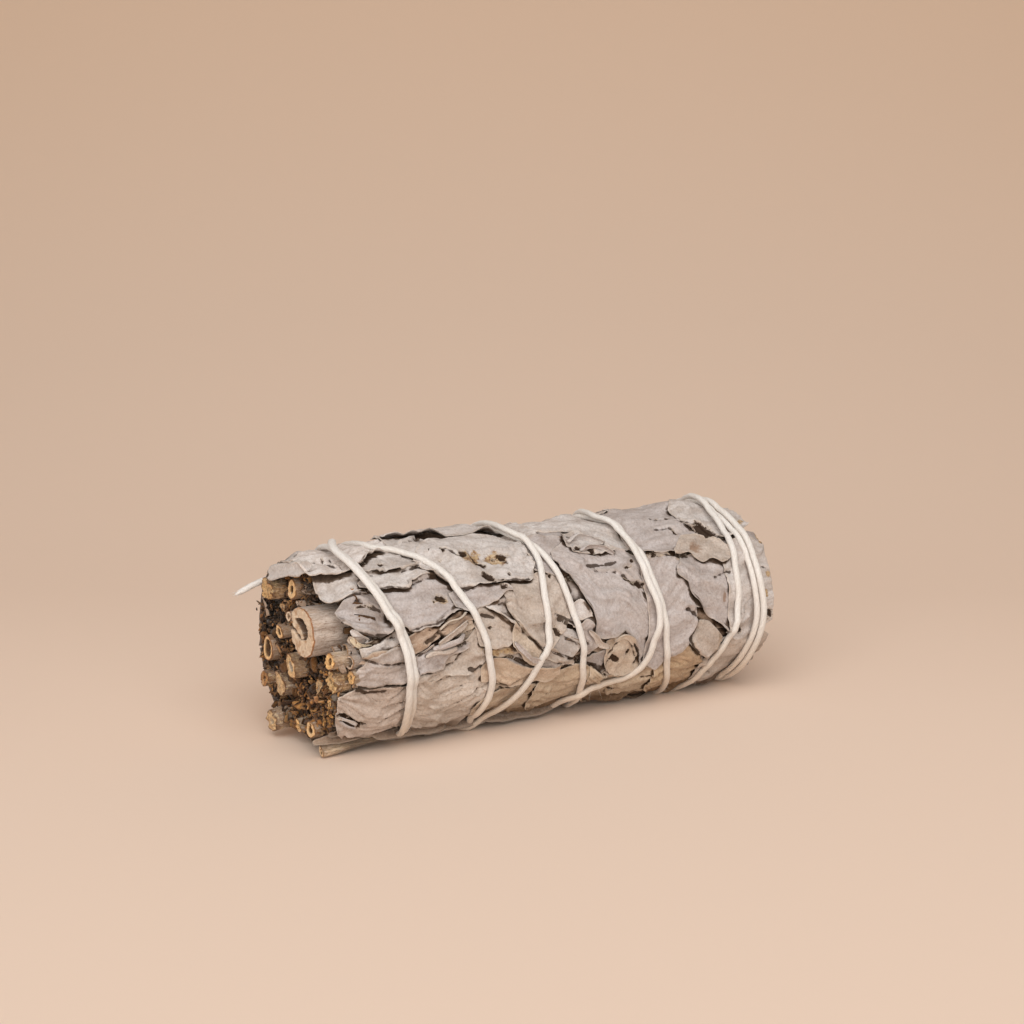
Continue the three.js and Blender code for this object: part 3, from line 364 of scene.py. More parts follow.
# Each leaf: name, upper edge, lower edge (lists of x and degrees), tone, options. 0 degrees faces -Y, 90 is the top.
# The lists run from the stem end to the tip end, and the leaves are laid in this order.
LEAVES = [
    ("leaf_back_01", [(-51.4, 94), (-47, 86), (-36, 88), (-30, 98), (-26, 110)], [(-51.6, 146), (-44, 152), (-36, 156), (-30, 148), (-26, 126)], PALE, {}),
    ("leaf_back_02", [(-51.4, 144), (-42, 141), (-34, 141), (-27, 150), (-23, 164)], [(-51.4, 190), (-42, 200), (-34, 202), (-27, 192), (-23, 178)], MAUVE, {}),
    ("leaf_back_03", [(-51.4, 192), (-43, 190), (-36, 190), (-29, 198), (-25, 208)], [(-51.0, 236), (-43, 246), (-36, 250), (-29, 240), (-25, 222)], PALE, {}),
    ("leaf_back_04", [(-49, 246), (-42, 238), (-34, 240), (-27, 250), (-24, 260)], [(-49, 276), (-42, 296), (-34, 300), (-27, 288), (-24, 272)], WARM, {}),
    ("leaf_back_05", [(-30, 98), (-22, 88), (-12, 86), (-4, 96), (0, 108)], [(-30, 122), (-22, 136), (-12, 140), (-4, 132), (0, 118)], PALE, {}),
    ("leaf_back_06", [(-28, 140), (-20, 130), (-10, 128), (-2, 138), (2, 150)], [(-28, 168), (-20, 184), (-10, 188), (-2, 178), (2, 164)], TAN, {}),
    ("leaf_back_07", [(-30, 190), (-22, 178), (-12, 176), (-3, 186), (1, 200)], [(-30, 216), (-22, 236), (-12, 240), (-3, 230), (1, 212)], PALE, {}),
    ("leaf_back_08", [(-28, 236), (-20, 228), (-10, 228), (-2, 238), (3, 252)], [(-28, 270), (-20, 290), (-10, 294), (-2, 284), (3, 266)], WARM, {}),
    ("leaf_back_09", [(-3, 112), (5, 98), (14, 94), (22, 102), (27, 116)], [(-3, 140), (5, 150), (14, 152), (22, 144), (27, 130)], PALE, {}),
    ("leaf_back_10", [(-1, 156), (7, 144), (16, 142), (24, 150), (29, 164)], [(-1, 184), (7, 198), (16, 202), (24, 192), (29, 178)], MAUVE, {}),
    ("leaf_back_11", [(-2, 204), (6, 192), (15, 190), (23, 200), (27, 214)], [(-2, 232), (6, 246), (15, 250), (23, 240), (27, 226)], PALE, {}),
    ("leaf_back_12", [(0, 250), (8, 240), (17, 240), (25, 250), (30, 262)], [(0, 278), (8, 294), (17, 296), (25, 288), (30, 274)], WARM, {}),
    ("leaf_back_13", [(21, 102), (29, 90), (38, 88), (45, 96), (50, 110)], [(21, 126), (29, 142), (38, 146), (45, 138), (50, 128)], PALE, {}),
    ("leaf_back_14", [(23, 150), (31, 136), (40, 134), (46, 142), (50, 152)], [(23, 176), (31, 196), (40, 198), (46, 190), (50, 178)], MAUVE, {}),
    ("leaf_back_15", [(22, 206), (30, 192), (39, 190), (46, 198), (50, 208)], [(22, 232), (30, 246), (39, 248), (46, 240), (50, 232)], PALE, {}),
    ("leaf_back_16", [(24, 250), (32, 240), (41, 238), (47, 246), (50, 254)], [(24, 276), (32, 292), (41, 296), (47, 288), (50, 280)], WARM, {}),
    ("leaf_front_01", [(-37, -17), (-34.5, -12), (-31, -12.5), (-28, -10), (-24, -10.5), (-20, -13), (-17.8, -20)], [(-37, -45), (-34, -58), (-29, -63), (-23, -60), (-19, -48), (-17.8, -34)], srgb(213, 200, 188), {"wr": 0.4, "pleat": 0.95}),
    ("leaf_front_02", [(-21, -36), (-17, -30), (-12, -29), (-8, -30), (-4, -36)], [(-21, -52), (-16, -64), (-10, -66), (-6, -62), (-4, -50)], GOLD, {"pleat": 0.7}),
    ("leaf_front_03", [(-8, -32), (-5, -24), (-2, -21), (1, -19), (5, -24), (8, -34)], [(-8, -52), (-4, -66), (2, -68), (6, -62), (8, -48)], GOLD, {"pleat": 0.7}),
    ("leaf_front_04", [(4, -22), (8, -30), (12, -34), (16, -30), (21, -32)], [(4, -50), (9, -64), (15, -66), (20, -58), (21, -46)], GOLD, {"pleat": 0.7}),
    ("leaf_front_05", [(20, -26), (23, -16), (26, -13), (29, -18), (32, -30), (34, -38)], [(20, -50), (25, -66), (30, -66), (34, -52)], GOLD * np.array([0.97, 0.9, 0.8]), {"pleat": 0.6}),
    ("leaf_front_06", [(32, -36), (36, -24), (41, -16), (46, -16), (50, -24)], [(32, -52), (38, -66), (44, -66), (50, -52)], TAN, {"pleat": 0.45}),
    ("scrap_triangle", [(7, -6), (10, 0), (13, -4), (17, -16)], [(7, -22), (9, -30), (13, -33), (17, -30)], WARM, {"wr": 0.5}),
    ("scrap_lens", [(26, -6), (29, -2), (32, -4), (35, -12)], [(27, -16), (30, -24), (33, -27), (35, -22)], TAN, {"wr": 0.5, "lift": (0.3, 0.6)}),
    ("leaf_front_07", [(-21, -12), (-18.5, -6), (-15, -8), (-12, -14), (-8, -17), (-3, -18)], [(-21, -20), (-17, -24), (-14, -26.5), (-10, -27.5), (-5, -27), (-3, -24)], srgb(213, 191, 168), {"lift": (0.2, 0.9)}),
    ("scrap_rib_right", [(-9, -1), (-7, -1), (-4, -8.5), (0, -16.5)], [(-9, -10), (-7, -11), (-4, -15), (0, -19)], TAN, {"lift": (0.5, 0.6)}),
    ("leaf_front_08", [(-36, -8), (-32, -3), (-28, 2), (-25, 8), (-22, 14), (-19.5, 14), (-18, 6)], [(-36, -12.5), (-33, -13.4), (-31, -13.5), (-28, -11), (-24, -11.8), (-21, -9), (-18, -3)], TAN, {"lift": (0.1, 0.8), "wr": 0.2, "pleat": 0.5}),
    ("leaf_front_09", [(-4, 92), (2, 104), (10, 106), (18, 98), (22, 88)], [(-4, 74), (1, 73), (5, 71), (9, 66), (12.5, 55), (16, 50), (22, 60)], PALE, {"lift": (0.1, 0.7)}),
    ("leaf_front_10", [(-50.6, 68), (-47, 76), (-43, 76), (-39.5, 66)], [(-50, 48), (-48.5, 45), (-46, 46), (-43, 48), (-40, 50)], PALE, {"lift": (0.1, 0.9)}),
    ("scrap_crescent", [(-46, 11.5), (-43, 13), (-40.5, 16.5), (-38.3, 19.5)], [(-46, 7), (-43, 7), (-40, 9), (-38, 12)], LIGHT, {"lift": (1.0, 0.2)}),
    ("scrap_ellipse", [(-46.5, 5), (-44, 8.8), (-41, 9.6), (-38, 11), (-35.5, 7)], [(-46.5, 3.5), (-45, 1.6), (-42, 0.2), (-38, -2), (-35.5, -1)], BROWN, {"lift": (0.1, 0.7)}),
    ("leaf_front_11", [(-48.5, 38), (-46, 46), (-42, 47), (-39.5, 40), (-38, 32)], [(-48.5, 32), (-46.5, 26), (-44.8, 20), (-42, 17), (-40, 19), (-38, 24)], MAUVE * 0.94, {"lift": (0.3, 1.7), "curl": 2.4, "wr": 0.7, "pleat": 0.35}),
    ("scrap_crumple", [(-33.5, 9), (-31, 13), (-29.5, 16), (-27, 19), (-24.5, 22), (-22.5, 22)], [(-33.5, 7), (-31, 7), (-29, 6.5), (-27, 8), (-25, 12), (-22.5, 15)], WARM, {"wr": 1.7, "lam": 1.2, "lift": (0.4, 1.2), "pleat": 0.4}),
    ("scrap_strip", [(-37, 13), (-34, 18), (-31, 18.5), (-28, 22), (-25, 25), (-22, 27)], [(-37, 3), (-34, 5), (-32.5, 8), (-30.5, 12), (-27, 14.5), (-25, 17), (-22, 20)], BROWN, {"wr": 0.7, "lift": (0.1, 0.7), "pleat": 0.35}),
    ("leaf_front_12", [(-37, 2), (-34, 5), (-32, 9), (-28, 9), (-25.5, 8), (-24, 6)], [(-37, -6), (-35, -9), (-31.5, -7), (-28, -1), (-26, 2), (-24, 4)], MAUVE, {"lift": (0.8, 1.3), "wr": 0.6, "pleat": 0.4}),
    ("leaf_front_13", [(-47, -1), (-44, 7), (-38, 9), (-35, 2)], [(-47, -10), (-45, -14), (-42, -14.5), (-38, -13), (-35, -9)], srgb(194, 182, 175), {"lift": (0.0, 1.0), "pleat": 0.3}),
    ("leaf_front_14", [(-50, -18), (-47, -14), (-42, -13), (-38, -14), (-36, -20)], [(-49.5, -36), (-48, -50), (-44, -62), (-39, -64), (-36, -50)], srgb(200, 184, 172), {"wr": 0.35, "lift": (0.2, 0.8), "pleat": 0.75}),
    ("leaf_front_15", [(-40, 40), (-37, 50), (-30, 52), (-25, 50), (-22, 40), (-21, 32)], [(-40, 26), (-37, 22), (-35.5, 17.5), (-33, 18.5), (-30, 19), (-28, 22.5), (-26.5, 25), (-23, 26), (-21, 28)], MAUVE, {"lift": (0.1, 0.8), "wr": 0.2}),
    ("leaf_front_16", [(-43, 54), (-40, 60), (-34, 62), (-29, 60), (-25, 54)], [(-43, 49), (-39.5, 46.5), (-37, 45), (-33.8, 43), (-33.2, 47), (-31, 49), (-27, 49.5), (-25, 50)], PALE, {"lift": (0.1, 1.0)}),
    ("leaf_front_17", [(-43.5, 76), (-38, 88), (-33, 88), (-28, 80), (-25, 70)], [(-42, 58), (-39, 58.5), (-36, 57.5), (-33.5, 57), (-30.5, 58.5), (-29, 60)], PALE, {"lift": (0.4, 0.9)}),
    # its tone is raised to 1.2 times LIGHT as painted light on the lit top of the bundle
    ("leaf_front_18", [(-51, 96), (-44, 108), (-36, 106), (-30, 98), (-27, 88)], [(-51, 66), (-48, 63), (-45, 62), (-42, 64), (-38, 72), (-33, 76), (-27, 82)], LIGHT * 1.2, {"lift": (0.2, 1.3), "wr": 0.4}),
    ("leaf_front_19", [(-22.5, 16), (-21.5, 24), (-18.5, 27), (-16.5, 20), (-14, 13), (-12.5, 8)], [(-22, 4), (-19, 1), (-16, 1), (-14, 3), (-12.5, 6)], TAN, {"lift": (0.2, 0.8), "wr": 0.2}),
    ("scrap_triangle_left", [(-19.6, 27), (-17, 32), (-14.5, 34), (-13, 30)], [(-19.4, 25.5), (-17.5, 20.5), (-15.5, 15), (-13, 9)], PALE, {"lift": (0.1, 0.5)}),
    ("scrap_rim", [(-14.5, 16), (-12.5, 12), (-9, 4), (-6.5, -3)], [(-15, 1), (-13.5, -4), (-11, -12), (-8, -16)], WARM, {"wr": 0.3, "lift": (0.1, 0.8)}),
    ("leaf_front_20", [(-16, 34), (-13, 40), (-8, 42), (-3, 44), (0, 42)], [(-15.5, 28), (-15, 20), (-13.5, 14), (-12, 8), (-10, 1.5), (-8.5, -3.5), (-5, 0), (-1.5, 10), (0, 26)], TAN, {"wr": 0.16, "lift": (0.1, 0.9)}),
    ("scrap_speckled", [(-26, 37), (-23, 40), (-19, 40), (-15, 38), (-13.5, 34)], [(-26, 27), (-22.5, 23.5), (-20, 26), (-18, 27), (-15.5, 31), (-13.5, 32)], MAUVE, {"lift": (0.1, 0.8), "wr": 0.4}),
    ("scrap_top", [(-33, 98), (-27, 103), (-18, 101), (-8, 100), (-2, 94)], [(-33, 74), (-27, 66), (-18, 64), (-8, 62), (-1, 66)], PALE, {"lift": (0.2, 0.6), "wr": 0.3}),
    ("scrap_under", [(-9, 66), (-4, 72), (2, 70), (7, 62)], [(-8.5, 50), (-4, 41), (1, 38), (5, 46)], MAUVE, {"lift": (0.1, 0.5), "wr": 0.25}),
    ("leaf_front_21", [(-31, 62), (-26, 78), (-18, 82), (-11, 78), (-6, 68)], [(-30, 54), (-26, 44), (-23.5, 39.5), (-18.5, 38), (-14, 38), (-11, 37), (-8, 38), (-6, 48)], PALE, {"lift": (0.5, 1.2), "wr": 0.35, "pleat": 0.15}),
    ("scrap_flap_top", [(-33.5, 99), (-25, 107), (-15, 105), (-6, 97)], [(-32.5, 89), (-29, 87), (-26, 84.5), (-22.5, 85.5), (-19.5, 83), (-16, 82.5), (-12, 83), (-6, 86)], PALE, {"lift": (0.1, 2.6), "wr": 0.3, "curl": 1.8}),
    ("scrap_fold_a", [(-0.2, 20), (1.5, 22), (2.6, 18), (3.0, 13)], [(-0.4, 9), (0.8, 9.5), (2.0, 10), (3.0, 11)], LIGHT, {"lift": (0.5, 0.5)}),
    ("scrap_fold_b", [(0.4, 8), (1.8, 10), (3.2, 8), (4.4, 0)], [(1.0, -12), (2.4, -14), (3.8, -12), (4.8, -8)], MAUVE, {"lift": (0.5, 0.5)}),
    ("leaf_front_22", [(-1, 56), (3, 62), (8, 60), (13, 54), (18, 46), (20, 36)], [(-1.5, 47), (0.3, 38), (1.8, 28), (2.8, 18), (3.6, 8), (4.8, -3), (8, -3.5), (11, -2), (13, -8), (15.5, -18), (16.5, -27), (18.5, -28), (20, -10)], MAUVE, {"wr": 0.2, "lift": (0.2, 1.1)}),
    ("scrap_loop", [(2.6, 61), (4, 68), (7, 70), (9.5, 65), (13, 55)], [(3, 54), (5, 50.5), (7, 50), (9.5, 49), (13, 50)], PALE, {"lift": (1.0, 0.9), "wr": 0.5}),
    ("leaf_front_23", [(17, 36), (20, 42), (24, 42), (26, 38), (27.5, 30)], [(17, -26), (20, -32), (24, -24), (27, -14), (28.5, 2), (27.8, 14)], MAUVE, {"wr": 0.2, "lift": (0.1, 0.3)}),
    ("leaf_front_24", [(25, 32), (28, 40), (32, 41), (36, 40), (39, 36), (41, 26)], [(24.8, 27), (27, 23), (27.8, 14), (29, 10), (30, 5), (31.5, 0), (35, -7), (37, -12), (40, -4), (41, 12)], MAUVE, {"wr": 0.25, "lift": (0.2, 1.5)}),
    ("leaf_front_25", [(17, 88), (22, 100), (30, 102), (36, 92), (38, 80)], [(17, 52), (20, 44), (25, 42.5), (29, 43), (32, 48), (36, 60), (38, 72)], MAUVE, {"wr": 0.25, "lift": (0.2, 1.0)}),
    ("leaf_front_26", [(37, 34), (41, 46), (46, 48), (50, 40)], [(37, -14), (40, -20), (45, -18), (50, -12)], PALE, {"wr": 0.4, "lift": (0.3, 0.7)}),
    ("leaf_front_27", [(33, 84), (38, 98), (44, 100), (50, 88)], [(33, 62), (36, 54), (40, 50), (45, 52), (50, 62)], PALE, {"wr": 0.5, "lift": (0.2, 0.9)}),
    ("leaf_front_28", [(26, 44), (30, 54), (35, 54), (39, 48), (41, 42)], [(26, 40.5), (30, 40.5), (32, 34), (34.5, 34.5), (37, 31.5), (39, 34), (41, 38)], TAN, {"wr": 0.4, "lift": (0.2, 1.1)}),
]

# painted marks on the leaves: x, degrees, half length, half width in mm, turn in degrees, kind, strength. A hole mark
# is painted shade of a hole
MARKS = [
    (-18.5, 59, 2.0, 2.2, 20, "ochre", 0.9), (-13.3, 55.5, 2.4, 1.4, -15, "ochre", 0.9), (-20.0, 62.5, 1.2, 0.7, 30, "hole", 1.0), (-12.4, 56.5, 1.3, 0.8, 0, "hole", 0.9),
    (-17.2, 52.5, 1.2, 0.7, -20, "hole", 0.7), (-23.6, 66.5, 0.9, 0.5, 30, "hole", 0.7), (-17.2, 43, 1.2, 0.6, -35, "hole", 1.0), (-12.7, 43, 0.5, 0.35, 0, "hole", 0.9), (-46.9, -37.8, 2.5, 1.0, -30, "hole", 1.0),
    (-15.0, 39.2, 0.7, 0.3, 0, "hole", 0.9), (-15.2, 34.5, 0.7, 0.5, 20, "hole", 0.8), (-19.1, 13, 0.5, 0.3, 0, "hole", 0.8), (-28.3, 34, 1.6, 0.9, 10, "hole", 0.75),
    (-28.3, 33, 2.0, 1.2, 0, "ochre", 0.5), (-36.9, 64, 0.7, 0.5, 20, "hole", 0.8), (-37.6, 78, 0.6, 0.4, 0, "hole", 0.6), (-46.0, 84, 1.0, 0.35, 70, "hole", 1.0),
    (-40, 68, 0.9, 0.3, 30, "hole", 0.4), (-26.5, 67, 0.6, 0.3, 20, "hole", 0.4), (-25.2, 59.5, 0.5, 0.3, 0, "hole", 0.4), (-43.5, 37.5, 1.4, 0.35, 0, "hole", 0.7),
    (-19.0, -1.5, 2.4, 0.7, -8, "ochre", 1.0), (-15.6, -2.6, 1.3, 0.8, -10, "ochre", 0.8), 
    (36.7, 57, 2.6, 1.6, -25, "hole", 1.0), (35.0, 62, 1.5, 1.5, 0, "brown", 0.4), (32.2, 44, 2.0, 2.6, 0, "brown", 0.35), (27.8, 76, 1.2, 0.8, 0, "hole", 0.35),
    (31, 74, 1.3, 0.8, 0, "hole", 0.35), (29.2, 58, 0.6, 1.0, 0, "hole", 0.4), (20.8, 42, 0.9, 0.5, 0, "hole", 0.8), (36.0, 10, 0.6, 1.5, 0, "brown", 0.5), (40.5, -14, 0.7, 1.0, 0, "hole", 0.5),
    (48.5, -7, 1.6, 1.2, 0, "hole", 0.6), (47.5, 8, 0.9, 0.8, 0, "ochre", 0.7), (49, 21, 0.9, 0.8, 0, "ochre", 0.8), (50, 47, 1.0, 1.6, 0, "ochre", 0.8), (47.5, 64, 1.6, 0.8, 20, "ochre", 0.6),
    (16.3, 25.5, 0.9, 0.6, -30, "hole", 0.9), (13.8, 29.5, 1.0, 0.4, -30, "hole", 0.8), (16, 41.5, 0.6, 0.4, 0, "hole", 0.8), (14.5, 38, 0.9, 0.3, 0, "hole", 0.7), (7.6, 53, 1.0, 1.0, 0, "hole", 0.6), (4.6, 54.5, 0.8, 0.3, -10, "hole", 0.6),
    (-3.5, 39, 0.5, 0.5, 0, "hole", 0.7), (-6.3, 55, 0.4, 0.5, 0, "hole", 0.6), (12.8, -17, 0.8, 0.6, 0, "hole", 0.7), (9.3, -18.5, 1.3, 0.6, -30, "hole", 1.0), (8.3, -29.5, 0.4, 0.8, 30, "hole", 0.8),
    (-4.6, 4.5, 0.5, 1.2, 20, "hole", 0.9), (-30.6, 9.2, 0.9, 0.5, 0, "hole", 1.0), (-27.8, 6.2, 2.0, 0.35, 0, "hole", 0.7), (-47.6, -5, 0.8, 1.6, 0, "ochre", 0.7),
]
# creases pressed into the leaves: points, width, depth (mm) and how dark the painted shade in the crease is
CREASES = [
    ([(-33.6, 55.9), (-31.8, 56.6), (-29.9, 58.1)], 0.34, 0.5, 1),
    ([(-33.0, 46.0), (-30.0, 48.1), (-26.9, 48.9)], 0.3, 0.5, 1),
    ([(-39.3, 46.7), (-36.4, 45.4), (-33.8, 42.9)], 0.26, 0.5, 0.9),
    ([(-23.8, 68.1), (-21.8, 64.8), (-21.1, 60.6), (-19.6, 60.7)], 0.34, 0.5, 1),
    ([(-18.1, 65.7), (-18.3, 59.2), (-17.8, 53.9), (-16.5, 52.5)], 0.5, 0.6, 0.8),
    ([(-13.8, 56.9), (-12.5, 55.4), (-11.4, 52.5)], 0.45, 0.5, 0.9),
    ([(-18.1, 44.3), (-17.6, 41.4), (-16.5, 39.0)], 0.4, 0.5, 1),
    ([(-14.0, 38.6), (-11.8, 38.3), (-9.9, 36.9), (-8.6, 38.4)], 0.3, 0.6, 1),
    ([(-23.3, 38.5), (-22.0, 38.6), (-20.6, 38.0)], 0.42, 0.6, 1),
    ([(-29.9, 32.4), (-29.4, 35.3), (-28.2, 36.7), (-27.1, 35.0)], 0.25, 0.4, 0.7),
    ([(-36.7, 17.2), (-33.0, 19.6), (-30.5, 19.8), (-27.8, 22.7)], 0.28, 0.5, 0.9),
    ([(-33.1, 10.0), (-31.8, 11.7), (-30.4, 14.6), (-29.3, 10.2), (-27.7, 9.5), (-25.5, 9.7), (-23.9, 11.9)], 0.4, 0.7, 1),
    ([(-30.7, 7.9), (-28.6, 5.3), (-26.5, 5.5), (-25.0, 6.6)], 0.38, 0.6, 1),
    ([(-34.7, 2.7), (-33.0, 4.3), (-31.7, 6.6)], 0.25, 0.4, 0.6),
    ([(-34.7, -8.5), (-32.4, -7.8), (-30.7, -6.7), (-28.6, -5.9), (-27.2, -4.8), (-26.1, -1.6), (-25.3, 1.5)], 0.3, 0.6, 0.9),
    ([(-24.1, -9.9), (-22.7, -10.6), (-21.5, -9.9)], 0.5, 0.5, 1),
    ([(-20.2, 21.4), (-19.0, 19.8), (-18.0, 18.8)], 0.4, 0.5, 1),
    ([(-16.8, 25.4), (-15.5, 26.0), (-14.1, 26.1)], 0.22, 0.4, 0.7),
    ([(-14.5, 17.4), (-13.3, 11.7), (-12.1, 7.1), (-10.6, 2.9), (-9.0, -1.4), (-7.4, -4.5), (-5.8, -7.1), (-2.4, -12.0), (0.8, -16.2)], 0.34, 0.6, 0.9),
    ([(-15.9, -4.4), (-14.8, -6.8), (-13.6, -8.6), (-11.4, -12.9)], 0.5, 0.7, 1),
    ([(-17.8, -21.9), (-15.8, -24.5), (-14.2, -25.5), (-11.6, -23.9), (-9.4, -21.5)], 0.3, 0.6, 0.8),
    ([(-16.7, -27.9), (-14.2, -30.3), (-11.7, -31.1)], 0.3, 0.5, 0.7),
    ([(-8.7, -13.5), (-6.6, -15.3), (-4.7, -15.5), (-2.7, -15.2)], 0.34, 0.5, 0.8),
    ([(-6.5, -56.8), (-6.4, -47.6), (-4.9, -41.8), (-3.5, -36.8)], 0.3, 0.5, 0.8),
    ([(-4.8, 15.3), (-3.5, 13.7), (-2.3, 11.4), (0.3, 6.2)], 0.36, 0.6, 0.9),
    ([(-33.0, -31.0), (-29.3, -36.3), (-26.9, -35.4), (-24.5, -32.6), (-22.7, -28.9), (-21.1, -25.2)], 0.24, 0.5, 0.55),
    ([(-32.2, -42.9), (-29.9, -42.8), (-28.3, -42.1), (-25.3, -41.5), (-22.4, -38.9)], 0.24, 0.5, 0.6),
    ([(-30.5, -15.1), (-28.8, -13.3), (-27.0, -12.3), (-24.6, -12.8), (-22.4, -14.0)], 0.22, 0.4, 0.5),
    ([(-29.5, -23.9), (-27.8, -22.0), (-26.1, -20.8), (-23.2, -18.9)], 0.2, 0.4, 0.4),
    ([(-32.4, -25.9), (-29.8, -26.7), (-27.3, -25.2), (-24.9, -22.9)], 0.16, 0.35, 0.3),
    ([(-46.1, 79.7), (-45.8, 75.1), (-45.3, 69.9)], 0.3, 0.4, 0.8),
    ([(-38.1, 77.1), (-36.8, 72.1), (-35.6, 65.9)], 0.2, 0.3, 0.5),
    ([(-40.7, 57.0), (-38.6, 56.8), (-36.8, 58.3)], 0.3, 0.5, 0.8),
    ([(-47.6, 45.0), (-45.7, 46.1), (-43.9, 46.0), (-42.0, 46.5), (-40.3, 45.7), (-37.4, 44.4), (-34.0, 43.0)], 0.26, 0.5, 0.9),
    ([(-44.3, 42.2), (-43.4, 39.9), (-42.5, 37.0), (-41.5, 34.2)], 0.34, 0.6, 0.9),
    ([(-47.7, 29.7), (-47.1, 25.4), (-46.1, 22.7), (-44.5, 19.8), (-42.8, 17.4), (-41.0, 17.8)], 0.5, 0.8, 1),
    ([(-46.5, 15.1), (-44.8, 14.3), (-43.0, 13.6), (-41.1, 15.6), (-38.6, 15.7)], 0.28, 0.5, 0.8),
    ([(-45.8, 5.9), (-43.7, 3.3), (-41.5, 1.2), (-39.3, 0.2), (-37.2, -0.2)], 0.3, 0.6, 0.9),
    ([(-46.4, -11.3), (-44.8, -12.7), (-43.1, -13.6), (-40.1, -13.3), (-37.0, -13.0)], 0.34, 0.6, 0.9),
    ([(-39.4, -23.0), (-38.1, -20.3), (-36.9, -16.9)], 0.28, 0.5, 0.8),
    ([(-40.4, -30.0), (-38.4, -28.9), (-36.2, -27.2)], 0.24, 0.5, 0.7),
    ([(-40.7, -40.6), (-38.6, -36.5), (-36.2, -32.9)], 0.26, 0.5, 0.7),
    ([(3.0, 64.1), (5.2, 67.2), (7.1, 68.3), (8.6, 66.3), (9.8, 62.5), (11.1, 56.2), (12.5, 50.6)], 0.2, 0.4, 0.7),
    ([(3.7, 53.7), (6.4, 54.1), (8.3, 50.0)], 0.3, 0.5, 0.7),
    ([(26.2, 72.7), (28.9, 73.7), (31.1, 72.2), (33.3, 67.0), (36.4, 62.1), (37.6, 56.6), (38.4, 51.8)], 0.5, 0.5, 0.8),
    ([(25.3, 62.6), (28.4, 62.0), (30.5, 57.1)], 0.35, 0.4, 0.6),
    ([(20.1, 40.7), (22.2, 41.3), (24.2, 41.2), (27.0, 40.1), (29.7, 39.8)], 0.34, 0.5, 0.9),
    ([(13.1, 33.2), (13.9, 30.2), (14.6, 27.4), (16.8, 25.3)], 0.5, 0.6, 0.9),
    ([(6.8, 38.3), (9.0, 36.7), (11.5, 35.8)], 0.26, 0.4, 0.8),
    ([(34.3, 23.3), (36.5, 25.1), (38.6, 25.6)], 0.4, 0.5, 0.6),
    ([(26.8, 6.1), (28.0, 2.4), (29.3, -1.3), (28.7, -6.9), (27.2, -13.0), (28.1, -18.4), (29.7, -23.8), (33.2, -31.6)], 0.5, 0.8, 0.9),
    ([(11.4, -2.1), (12.4, -6.3), (13.6, -11.5), (15.0, -21.4)], 0.3, 0.5, 0.8),
    ([(8.6, -15.9), (7.9, -22.0), (7.4, -29.7)], 0.3, 0.5, 0.8),
    ([(-3.8, 12.0), (-1.7, 7.0), (0.3, 2.6), (2.7, -6.5)], 0.4, 0.6, 0.9),
    ([(-2.7, 0.2), (-1.3, -2.3), (0.4, -5.5)], 0.4, 0.6, 1),
    ([(9.5, -47.7), (12.4, -48.0), (15.2, -45.4)], 0.3, 0.4, 0.7),
    ([(17.8, -38.6), (21.3, -37.1), (24.3, -35.2)], 0.3, 0.4, 0.6),
    ([(3.9, -42.6), (4.2, -34.7), (5.6, -30.3)], 0.3, 0.4, 0.8),
    ([(-43.9, -19.0), (-42.0, -24.4), (-40.8, -23.6)], 0.16, 0.3, 0.2),
    ([(-46, -14), (-44.5, -17), (-41, -17)], 0.9, 0.5, 0.25), ([(5.4, 42), (8, 41.5), (12, 42)], 0.8, 0.3, 0.2), ([(-1, 43), (-0.2, 34), (0.3, 27)], 0.6, 0.9, 1.0), ([(3, -15), (3.7, -21), (6, -23.5)], 0.35, 0.6, 1.0),
    ([(11.2, -2), (13, -8), (15, -16), (16, -22), (15.3, -27)], 0.4, 0.5, 0.9), ([(11.2, -2), (9, -10), (7.8, -15)], 0.3, 0.4, 0.6), ([(46, -20), (47, -30), (48.5, -42)], 0.8, 0.6, 0.5), ([(45.5, 27), (49, 25)], 0.4, 0.3, 0.4),
    ([(-41.6, 36.5), (-40.6, 31.5)], 0.3, 0.2, 0.9), ([(-44, 42), (-42.4, 40.2)], 0.25, 0.15, 0.7), ([(-44.5, 64), (-44.3, 74), (-44.6, 84)], 0.25, 0.2, 0.35),
    ([(-49.2, -32), (-47.5, -34.5), (-45.5, -38), (-43.6, -42)], 0.55, 0.9, 1.0), ([(-48.6, -37), (-46.5, -43), (-44.2, -45)], 0.3, 0.5, 0.9),
]


# ------------------------------------------------------------------------------------------------ laying the leaves
def along(line, u):
    """Smooth points at fractions u of a polyline of (x, degrees)."""
    P = np.asarray(line, float).copy()
    P[:, 1] *= D2R * R_LEAF
    C = catmull(P, 0.25) if len(P) > 2 else P
    d = np.r_[0, np.cumsum(np.linalg.norm(np.diff(C, axis=0), axis=1))]
    s = np.asarray(u) * d[-1]
    return np.stack([np.interp(s, d, C[:, 0]), np.interp(s, d, C[:, 1])], 1), d[-1]


def edge_rows(length, step):
    """Distances from one edge: close together at both edges, step apart between."""
    n = max(2, int(round((length - 0.9) / step)))
    mid = np.linspace(0.45, length - 0.45, n + 1)
    return np.r_[0, 0.06, 0.2, mid, length - 0.2, length - 0.06, length] / length


RIM = 0.2


def start_x(t, x0):
    """Where a hidden piece may begin: further in on the open side of the cut face."""
    return -45.9 if -30 < wrap(t) < 80 else x0


